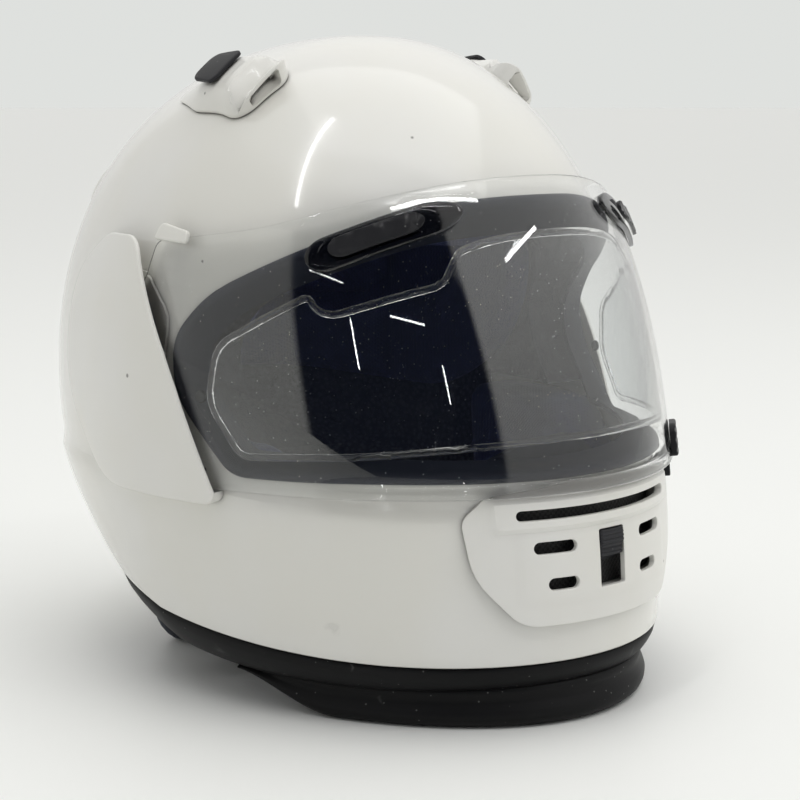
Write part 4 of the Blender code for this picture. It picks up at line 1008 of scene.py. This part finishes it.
class HELMET_OT_corner_ribs(bpy.types.Operator):
    """White ribs on the shield's upper rear corners"""

    bl_idname = "helmet.corner_ribs"
    bl_label = "Corner Ribs"
    bl_options = {"REGISTER", "UNDO"}

    def execute(self, context):
        for label, side in SIDES:
            bm = slab([laid(CORNER_RIB, "side")], RIB_WALL, 0.0008, 3, 0.002)
            bent(bm, RIB_WALL, above_shield(GAP), above_shield(GAP + RIB_WALL), side=side)
            finished(solid("corner_rib_" + label, bm), finish("white plastic"), "shield",
                     ["shield_corner_rib_" + label])
        return {"FINISHED"}


class HELMET_OT_lock(bpy.types.Operator):
    """Lever at the shield's lower edge, and its catch on the shell"""

    bl_idname = "helmet.lock"
    bl_label = "Shield Lock"
    bl_options = {"REGISTER", "UNDO"}

    def execute(self, context):
        bm = slab([laid(LOCK_LEVER, "front")], LEVER_WALL, 0.0010, 3, 0.0015)
        for vert in bm.verts:
            ridge = blend(math.cos((vert.co.y - 0.1065) * 1400.0), 0.2, 0.9)
            vert.co.z -= 0.0005 * ridge * blend(vert.co.z, 0.0024, LEVER_WALL)
        bent(bm, LEVER_WALL, above_shield(SEAT), above_shield(SEAT + LEVER_WALL))
        finished(solid("lock_lever_cap", bm), finish("dark plastic"), "lock_lever", ["shield_lock_lever"])
        bm = slab([laid(LOCK_CATCH, "front")], 0.005, 0.0008, 3, 0.003)
        bent(bm, 0.005, even(SEAT + sizes().ledge), even(0.006))
        finished(solid("lock_catch_block", bm), finish("dark plastic"), "helmet", ["shield_lock_catch"])
        return {"FINISHED"}


def pod_lift(phi, z):
    """Outer lift of a side pod: proud at its front edge, flush behind."""
    return 0.0094 + (0.0016 - 0.0094) * blend(form(phi, z).y, -0.005, 0.074)


class HELMET_OT_pods(bpy.types.Operator):
    """Side pods over the shield's pivots, and the plates and screws under them"""

    bl_idname = "helmet.pods"
    bl_label = "Side Pods"
    bl_options = {"REGISTER", "UNDO"}

    def execute(self, context):
        for label, side in SIDES:
            bm = slab([laid(POD, "side")], 0.006, sizes().pod_edge, 4, 0.0035)
            bent(bm, 0.006, even(SEAT + 0.0002), pod_lift, side=side)
            pod = solid("pod_" + label, bm)
            bm = slab([laid(POD_POCKET, "side")], 0.006, 0.0, 2, 0.005)
            bent(bm, 0.006, even(-SHELL_WALL), lambda phi, z: pod_lift(phi, z) - 0.0016, side=side)
            cut(pod, bm)
            finished(pod, finish("white plastic"), "helmet", ["side_pod_" + label], 34)
            repaint(finish("white plastic"), "shield_base_plate_" + label)
            repaint(finish("steel"), "base_plate_screw_%s_1" % label, "base_plate_screw_%s_2" % label)
        return {"FINISHED"}


class HELMET_OT_chin_vent(bpy.types.Operator):
    """Chin vent cover with its slots and raised panel, the toggle in it and the screen behind"""

    bl_idname = "helmet.chin_vent"
    bl_label = "Chin Vent"
    bl_options = {"REGISTER", "UNDO"}

    def execute(self, context):
        low, high, middle, height = LONG_SLOT
        holes = [laid(bar(low, high, middle, height), "front")]
        for near, far, middle, height in SHORT_SLOTS:
            holes.append(laid(bar(near, far, middle, height), "front"))
            holes.append(laid(bar(-far, -near, middle, height), "front"))
        left, right, bottom, top = TOGGLE_SLOT
        holes.append(laid([(left, bottom, 0.0008), (right, bottom, 0.0008), (right, top, 0.0008),
                           (left, top, 0.0008)], "front"))
        outline = laid(whole(CHIN_COVER), "front")
        bm = slab([outline] + holes, COVER_WALL, 0.0006, 3, 0.002)

        def panel_lift(phi, z):
            x = abs(form(phi, z).x)
            inside = min(blend(0.0515 - x, 0.0, 0.0022), blend(z, 0.0842, 0.0862),
                         blend(0.0985 - z, 0.0, 0.002))
            lower = min(blend(0.043 - x, 0.0, 0.003), blend(z, 0.0530, 0.0560),
                        blend(0.0842 - z, 0.0, 0.0015))
            return sizes().ledge + 0.0023 + sizes().plateau * inside + 0.0005 * lower

        bent(bm, COVER_WALL, even(SEAT + sizes().ledge), panel_lift)
        finished(solid("chin_cover", bm), finish("white plastic"), "helmet", ["chin_vent_cover"],
                 30)
        knob = laid([(left + 0.0005, top - 0.0117, 0.001), (right - 0.0005, top - 0.0117, 0.001),
                     (right - 0.0005, top - 0.0005, 0.001), (left + 0.0005, top - 0.0005, 0.001)], "front")
        bm = slab([knob], 0.006, 0.0008, 3, 0.0006)
        for vert in bm.verts:
            if vert.co.z > 0.004:
                vert.co.z += 0.0011 * blend(vert.co.y, 0.0740, 0.0765) - 0.0004 * (
                    blend(math.sin(vert.co.y * 3600.0), 0.0, 0.8))
        bent(bm, 0.006, even(-0.0022), even(sizes().ledge + 0.0026))
        knob_piece = solid("toggle_knob", bm)
        wide = laid([(left - 0.0017, top - 0.0139, 0.001), (right + 0.0017, top - 0.0139, 0.001),
                     (right + 0.0017, top + 0.0017, 0.001), (left - 0.0017, top + 0.0017, 0.001)], "front")
        bm = slab([wide], FLANGE_WALL, 0.0, 2, 0.002)
        cut(knob_piece, bent(bm, FLANGE_WALL, even(-0.0022), even(-0.0022 + FLANGE_WALL)), "UNION")
        finished(knob_piece, finish("dark plastic"), "chin_toggle", ["chin_vent_toggle"], 30)
        repaint(finish("screen"), "chin_vent_mesh")
        return {"FINISHED"}


class HELMET_OT_top_ducts(bpy.types.Operator):
    """Air scoops on the crown and the shutters that slide over them"""

    bl_idname = "helmet.top_ducts"
    bl_label = "Top Ducts"
    bl_options = {"REGISTER", "UNDO"}

    def execute(self, context):
        outline = laid(DUCT, "top")
        sides_only = rim_distance([point for point in outline if point.y > -0.022])

        def lift(phi, z):
            place = form(phi, z)
            tall = 0.0092 + (0.0012 - 0.0092) * blend(place.y, -0.004, 0.036)
            tall += 0.0030 * blend(-0.0085 - place.y, 0.0, 0.010)
            inside = sides_only(place.x, place.y)
            return 0.0012 + (tall - 0.0012) * (0.12 + 0.88 * math.sin(1.5708 * min(inside / 0.0085, 1.0)))

        for label, side in SIDES:
            bm = slab([outline], 0.008, 0.0012, 4, 0.0022)
            bent(bm, 0.008, even(SEAT), lift, "top", side)
            duct = solid("duct_" + label, bm)
            bm = slab([laid(DUCT_MOUTH, "top")], 0.006, 0.0014, 3, 0.004, 0.0014)
            bent(bm, 0.006, even(SEAT + 0.0012), lambda phi, z: lift(phi, z) - 0.0018, "top", side)
            cut(duct, bm)
            place = skin(*plan_point(0.0735, -0.0150), 0.0052)
            bm = cylinder(0.0029, 0.0060, (side * place.x, place.y, place.z), (0, 1, 0.12), 32)
            finished(duct, finish("white plastic"), "helmet", ["top_duct_" + label], 34)
            finished(solid("duct_bore_" + label, bm), finish("dark plastic"), "helmet", ())
            low = 0.0092 + 0.0010
            bm = slab([laid(DUCT_SHUTTER, "top")], SHUTTER_WALL, 0.0005, 3, 0.002)
            bent(bm, SHUTTER_WALL, even(low), even(low + SHUTTER_WALL), "top", side)
            finished(solid("duct_shutter_" + label, bm), finish("dark plastic"), "top_shutter_" + label,
                     ["top_duct_shutter_" + label])
        return {"FINISHED"}


class HELMET_OT_outlets(bpy.types.Operator):
    """Air outlets on the back of the shell"""

    bl_idname = "helmet.outlets"
    bl_label = "Rear Outlets"
    bl_options = {"REGISTER", "UNDO"}

    def execute(self, context):
        outline = laid(OUTLET, "rear")
        sides_only = rim_distance([point for point in outline if point.y > 0.190])

        def lift(phi, z):
            tall = 0.0012 + 0.0085 * blend(0.242 - z, 0.0, 0.034)
            inside = sides_only(abs(phi) * ARC, z)
            return 0.0021 + tall * (0.1 + 0.9 * math.sin(1.5708 * min(inside / 0.0090, 1.0)))

        for label, side in SIDES:
            bm = slab([outline], 0.007, 0.0010, 4, 0.0022)
            bent(bm, 0.007, even(0.0009), lift, side=side)
            outlet = solid("outlet_" + label, bm)
            bm = slab([laid(OUTLET_MOUTH, "rear")], 0.006, 0.0, 3, 0.004)
            bent(bm, 0.006, even(0.0021), lambda phi, z: max(lift(phi, z) - 0.0020, 0.0028), side=side)
            cut(outlet, bm)
            finished(outlet, finish("white plastic"), "helmet", ["rear_outlet_" + label], 34)
        return {"FINISHED"}


def trim_bottom(phi):
    """Height of the black band's lower edge."""
    return edge_z(phi) - 0.0175 + 0.0063 * blend(max(math.cos(phi), 0.0), 0.0, 1.0)


def trim_inset(phi):
    """How far the band's lower edge stands inside the shell."""
    return 0.0115 - 0.006 * blend(max(math.cos(phi), 0.0), 0.0, 1.0)


class HELMET_OT_lower_edge(bpy.types.Operator):
    """Black band under the shell and the soft skirt in front that stands on the floor"""

    bl_idname = "helmet.lower_edge"
    bl_label = "Lower Edge"
    bl_options = {"REGISTER", "UNDO"}

    def execute(self, context):
        def band(phi):
            top, bottom, inset = edge_z(phi) - 0.0003, trim_bottom(phi), trim_inset(phi)
            span = top - bottom
            outer = [(0.0, -0.0016), (0.04, -0.0008), (0.12, 0.0), (0.35, 0.0004), (0.6, 0.0003), (0.8, 0.0),
                     (0.93, -0.0006), (1.0, -0.0020)]
            face = [(top - span * share, -0.0006 - (inset - 0.0006) * share ** 1.3 + swell)
                    for share, swell in outer]
            return face + [(bottom, -inset - 0.005), (bottom + span * 0.5, -inset * 0.5 - 0.0058),
                           (top, -0.0058)]

        finished(solid("edge_band", swept(band, 0, 2 * math.pi, 160)), finish("rubber"), "helmet",
                 ["lower_edge_trim"], 50)
        half = math.radians(76)

        def roll(phi):
            end = blend(abs(phi), math.radians(56), half)
            inset = 0.0035 + 0.0085 * blend(abs(phi), 0.0, half)
            top = trim_bottom(phi) + 0.0012
            foot = (top - 0.003) * end
            shape = [(1.0, -0.0020), (0.90, -0.0006), (0.80, -0.0008), (0.68, -0.0016), (0.58, -0.0010),
                     (0.46, 0.0006), (0.34, 0.0013), (0.22, 0.0011), (0.12, 0.0002), (0.05, -0.0014),
                     (0.0, -0.0042), (0.0, -0.0090), (0.0, -0.0140), (0.06, -0.0172), (0.2, -0.0186),
                     (0.4, -0.0188), (0.6, -0.0180), (0.8, -0.0160), (0.93, -0.0125), (1.0, -0.0080)]
            return [(foot + (top - foot) * share, -inset + lift * (1.0 - 0.45 * end))
                    for share, lift in shape]

        skirt = solid("front_skirt", swept(roll, -half, half, 110))
        finished(skirt, finish("rubber"), "helmet", ["chin_skirt"], 60)
        return {"FINISHED"}


class HELMET_OT_foam(bpy.types.Operator):
    """Foam liner, chin foam and breath guard inside the shell"""

    bl_idname = "helmet.foam"
    bl_label = "Foam and Guard"
    bl_options = {"REGISTER", "UNDO"}

    def execute(self, context):
        repaint(finish("foam"), "impact_liner", "chin_liner")
        repaint(finish("gasket"), "breath_guard")
        return {"FINISHED"}


def puffed(piece, limit):
    """Swell a pad as its stuffing would, and smooth it."""
    change = piece.modifiers.new("even mesh", "REMESH")
    change.mode, change.voxel_size = "VOXEL", 0.004
    settle(piece)
    rest = [vert.co.copy() for vert in piece.data.vertices]
    change = piece.modifiers.new("stuffing", "CLOTH")
    change.settings.use_pressure = True
    change.settings.uniform_pressure_force = 4.0
    change.settings.effector_weights.gravity = 0.0
    change.point_cache.frame_start, change.point_cache.frame_end = 1, 20
    for number in range(1, 21):
        bpy.context.scene.frame_set(number)
    settle(piece)
    bpy.context.scene.frame_set(1)
    for vert, start in zip(piece.data.vertices, rest):
        move = vert.co - start
        if move.length > limit:
            vert.co = start + move.normalized() * limit
    change = piece.modifiers.new("smooth", "SUBSURF")
    change.levels = change.render_levels = 1
    settle(piece)


class HELMET_OT_pads(bpy.types.Operator):
    """Crown lining, cheek pads and the roll at the nape"""

    bl_idname = "helmet.pads"
    bl_label = "Pads"
    bl_options = {"REGISTER", "UNDO"}

    def execute(self, context):
        depth = SHELL_WALL + LINER_FIT + LINER_WALL + 0.0013

        def rim(phi):
            return 0.215 - 0.105 * blend(abs(phi), math.radians(50), math.radians(110))

        def inner(phi, z):
            away = blend(CROWN_Z - z, 0.01, 0.05)
            channel = abs(math.sin(phi * 3.0)) * away + 1.0 - away
            row = abs(math.sin((z - 0.11) * 60.0))
            edge = blend(z - rim(phi), 0.0, 0.010)
            return -depth - 0.0055 - 0.005 * min(blend(channel, 0.0, 0.22), blend(row, 0.0, 0.22)) * edge

        crown = solid("crown_lining", cup(inner, even(-depth), rim, 144, 36))
        finished(crown, finish("lining"), "helmet", ["crown_pad"], 70)
        depth = SHELL_WALL + LINER_FIT
        for label, side in SIDES:
            bm = slab([laid(CHEEK, "side", -0.002)], PAD_DEPTH, 0.004, 4, 0.005, 0.011)
            bent(bm, PAD_DEPTH, even(-depth - 0.0015 - PAD_DEPTH), even(-depth - 0.0015), side=side)
            pad = solid("cheek_cushion_" + label, bm)
            puffed(pad, sizes().pad_puff * 0.35)
            finished(pad, finish("lining"), "helmet", ["cheek_pad_" + label], 70)

        def section(phi):
            top = trim_bottom(phi) + 0.0010
            reached = blend(abs(phi - math.pi), math.radians(40), math.radians(62))
            foot, end = (top - 0.004) * reached, 1.0 - 0.45 * reached
            corners = []
            for index in range(24):
                angle = 2 * math.pi * (index + 0.5) / 24
                share = 0.5 + 0.5 * max(min(math.sin(angle) * 1.06, 1.0), -1.0)
                corners.append((foot + (top - foot) * share, -0.0295 + 0.0155 * end * math.cos(angle)))
            return corners

        # The roll wears the near-black cloth that stands as painted shade under the band.
        roll = solid("nape_roll", swept(section, math.pi - math.radians(62), math.pi + math.radians(62), 90))
        finished(roll, finish("shade dark nape cloth"), "helmet", ["neck_roll"], 70)
        return {"FINISHED"}


def ribbon(route, thickness):
    """Outline of a band of even thickness along a smoothed route."""
    line = [Vector(point) for point in route]
    for _ in range(3):
        cornered = [line[0]]
        for start, end in zip(line, line[1:]):
            cornered += [start.lerp(end, 0.25), start.lerp(end, 0.75)]
        line = cornered + [line[-1]]
    left, right = [], []
    for index, point in enumerate(line):
        along = (line[min(index + 1, len(line) - 1)] - line[max(index - 1, 0)]).normalized()
        across = Vector((-along.y, along.x)) * thickness / 2
        left.append(point + across)
        right.append(point - across)
    return left + right[::-1]


class HELMET_OT_straps(bpy.types.Operator):
    """Chin strap webbing, the two rings and the anchors"""

    bl_idname = "helmet.straps"
    bl_label = "Chin Strap"
    bl_options = {"REGISTER", "UNDO"}

    def execute(self, context):
        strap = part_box("chin_strap_right")
        start, low, high = -strap[0].x, strap[0].y, strap[1].y
        short_route = [(0.0, 0.046), (0.0145, 0.046), (0.0245, 0.0410), (0.0290, 0.0340)]
        long_route = short_route + [(0.0315, 0.0200), (0.0365, 0.0080), (0.0465, 0.0030), (0.0705, 0.0025),
                                    (0.1005, 0.0025)]
        bm = prism(ribbon([(inwards - start, z) for inwards, z in long_route], WEBBING_WALL), 1, low, high)
        webbing = bevelled(solid("strap_long", bm), 0.0005)
        finished(webbing, finish("webbing"), "helmet", ["chin_strap_right"], 50)
        end = (start - 0.0290, 0.0340)
        bm = prism(ribbon([(start - inwards, z) for inwards, z in short_route], 0.0022), 1, low, high)
        short = solid("strap_short", bm)
        half, rise = 0.0041, 0.0020
        centre = Vector(end) - Vector((0.0, rise + 0.0022))
        for grow, operation in ((0.0020, "UNION"), (0.0, "DIFFERENCE")):
            a, b = half + grow, rise + grow
            loop = rounded([(centre.x - a, centre.y - b, b * 0.98), (centre.x + a, centre.y - b, b * 0.98),
                            (centre.x + a, centre.y + b, b * 0.98), (centre.x - a, centre.y + b, b * 0.98)])
            more = 0.01 if operation == "DIFFERENCE" else 0.0
            cut(short, prism(loop, 1, low - more, high + more), operation)
        finished(short, finish("webbing"), "helmet", ["chin_strap_left"], 50)
        for label in ("inner", "outer"):
            near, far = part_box("d_ring_" + label)
            self.ring(label, (near + far) / 2, far.y - near.y, far.z - near.z)
        repaint(finish("steel"), "strap_anchor_left", "strap_anchor_right")
        return {"FINISHED"}

    def ring(self, label, centre, width, height):
        """Steel ring of round wire."""
        half, drop = width / 2 - RING_WIRE, height - 2 * RING_WIRE
        points = stepped(rounded(whole([(half, 0.0, 0.003), (half * 0.8, -drop, 0.0075)])), 0.002)
        curve = bpy.data.curves.new("ring_line", "CURVE")
        curve.dimensions, curve.bevel_depth, curve.bevel_resolution = "3D", RING_WIRE, 5
        line = curve.splines.new("POLY")
        line.points.add(len(points) - 1)
        for knot, point in zip(line.points, points):
            knot.co = (centre.x, centre.y + point.x, centre.z + drop / 2 + point.y, 1.0)
        line.use_cyclic_u = True
        made = bpy.data.objects.new("ring_line", curve)
        bpy.context.scene.collection.objects.link(made)
        mesh = bpy.data.meshes.new_from_object(made)
        bpy.data.objects.remove(made, do_unlink=True)
        ring = bpy.data.objects.new("strap_ring_" + label, mesh)
        bpy.context.scene.collection.objects.link(ring)
        finished(ring, finish("steel"), "ring_" + label, ["d_ring_" + label], 60)


class HELMET_OT_stage(bpy.types.Operator):
    """Pale floor, backdrop, studio light and camera"""

    bl_idname = "helmet.stage"
    bl_label = "Stage"
    bl_options = {"REGISTER", "UNDO"}

    def execute(self, context):
        scene = bpy.context.scene
        setup = scene.helmet_studio
        scene.view_settings.view_transform = "Standard"
        bm = bmesh.new()
        bmesh.ops.create_circle(bm, cap_ends=True, segments=96, radius=30.0)
        floor = solid("floor", bm)
        floor.data.materials.append(started("Pale Floor", 0.5, Base_Color=(*setup.backdrop, 1.0))[0])
        self.backdrop(scene, setup)
        overhead = ("overhead", (0.3, -0.2, 1.9), (0, 0, 0.1), 1.6, 1.6, setup.key)
        for name, place, target, wide, tall, power in [overhead] + LAMPS:
            lamp = bpy.data.lights.new(name, "AREA")
            lamp.shape, lamp.size, lamp.size_y, lamp.energy = "RECTANGLE", wide, tall, power
            holder = bpy.data.objects.new(name, lamp)
            holder.location = place
            holder.rotation_euler = (Vector(target) - Vector(place)).to_track_quat("-Z", "Y").to_euler()
            scene.collection.objects.link(holder)
        camera = bpy.data.cameras.new("camera")
        camera.lens, camera.sensor_width = setup.lens, 36.0
        holder = bpy.data.objects.new("camera", camera)
        back = Vector((math.sin(CAMERA_AZIMUTH) * math.cos(CAMERA_HEIGHT),
                       -math.cos(CAMERA_AZIMUTH) * math.cos(CAMERA_HEIGHT), math.sin(CAMERA_HEIGHT)))
        holder.location = Vector(CAMERA_TARGET) + back * setup.distance
        holder.rotation_euler = (-back).to_track_quat("-Z", "Y").to_euler()
        scene.collection.objects.link(holder)
        scene.camera = holder
        return {"FINISHED"}

    def backdrop(self, scene, setup):
        """Pale ground seen direct; a studio with one dark side seen in reflections."""
        world = bpy.data.worlds.new("studio")
        scene.world = world
        world.use_nodes = True
        make = Finish(world.node_tree)
        ground = world.node_tree.nodes["Background"]
        where = make.add("TexCoord").outputs["Generated"]
        place = make.add("SeparateXYZ", {"Vector": where})
        level = make.add("CombineXYZ", {"X": place.outputs["X"], "Y": place.outputs["Y"]})
        flat = make.add("VectorMath", {0: level.outputs[0]}, operation="NORMALIZE")
        opening = []
        for turn in (-41.5 - 35.0 + 90.0, -41.5 + 32.0 - 90.0):
            edge = make.add("VectorMath", {0: flat.outputs[0], 1: (math.sin(math.radians(turn)),
                            -math.cos(math.radians(turn)), 0.0)}, operation="DOT_PRODUCT")
            opening.append(make.ramp(edge.outputs["Value"], -0.01, 0.05))
        low = make.ramp(make.math("SUBTRACT", 0.86, place.outputs["Z"]), 0.0, 0.1)
        dark = make.math("MULTIPLY", make.math("MULTIPLY", opening[0], opening[1]), low)
        height = place.outputs["Z"]
        wall = make.mix(make.ramp(height, -0.1, 0.9), (0.80, 0.80, 0.785, 1), (1.25, 1.25, 1.23, 1))
        shaded = make.mix(make.math("MULTIPLY", opening[1], low), wall, (0.82, 0.82, 0.80, 1))
        room = make.mix(dark, shaded, (0.035, 0.042, 0.07, 1))
        seen = make.mix(make.ramp(height, -0.05, 0.35), setup.horizon, (0.70, 0.715, 0.70, 1))
        direct = make.add("LightPath").outputs["Is Camera Ray"]
        lit = make.add("Background", {"Color": room, "Strength": setup.fill})
        ground.inputs["Strength"].default_value = 1.0
        world.node_tree.links.new(seen, ground.inputs["Color"])
        choice = make.add("MixShader", {"Fac": direct})
        world.node_tree.links.new(lit.outputs[0], choice.inputs[1])
        world.node_tree.links.new(ground.outputs[0], choice.inputs[2])
        world.node_tree.links.new(choice.outputs[0], world.node_tree.nodes["World Output"].inputs["Surface"])


STEPS = (HELMET_OT_stage, HELMET_OT_shell, HELMET_OT_gasket, HELMET_OT_foam, HELMET_OT_pads,
         HELMET_OT_lower_edge, HELMET_OT_straps, HELMET_OT_pods, HELMET_OT_shield, HELMET_OT_brow_vents,
         HELMET_OT_corner_ribs, HELMET_OT_lock, HELMET_OT_chin_vent, HELMET_OT_top_ducts, HELMET_OT_outlets)


class HELMET_PT_panel(bpy.types.Panel):
    """Lists the helmet's pieces, sizes and colours"""

    bl_idname = "HELMET_PT_panel"
    bl_label = "Full Face Helmet"
    bl_space_type = "VIEW_3D"
    bl_region_type = "UI"
    bl_category = "Helmet"

    def draw(self, context):
        for step in STEPS:
            self.layout.operator(step.bl_idname)
        for name in ("helmet_sizes", "helmet_colours", "helmet_studio"):
            box = self.layout.box()
            owner = getattr(context.scene, name)
            for prop in owner.bl_rna.properties:
                if not prop.is_readonly and prop.identifier != "name":
                    box.prop(owner, prop.identifier)


CLASSES = (HelmetSizes, HelmetColours, StudioSettings) + STEPS + (HELMET_PT_panel,)


def register():
    """Make the classes and the settings known."""
    for cls in CLASSES:
        bpy.utils.register_class(cls)
    bpy.types.Scene.helmet_sizes = bpy.props.PointerProperty(type=HelmetSizes)
    bpy.types.Scene.helmet_colours = bpy.props.PointerProperty(type=HelmetColours)
    bpy.types.Scene.helmet_studio = bpy.props.PointerProperty(type=StudioSettings)


def unregister():
    """Take the settings and the classes away again."""
    for name in ("helmet_sizes", "helmet_colours", "helmet_studio"):
        delattr(bpy.types.Scene, name)
    for cls in reversed(CLASSES):
        bpy.utils.unregister_class(cls)


def main():
    """Make every piece in order."""
    register()
    for step in STEPS:
        area, name = step.bl_idname.split(".")
        getattr(getattr(bpy.ops, area), name)()


if __name__ == "__main__":
    main()
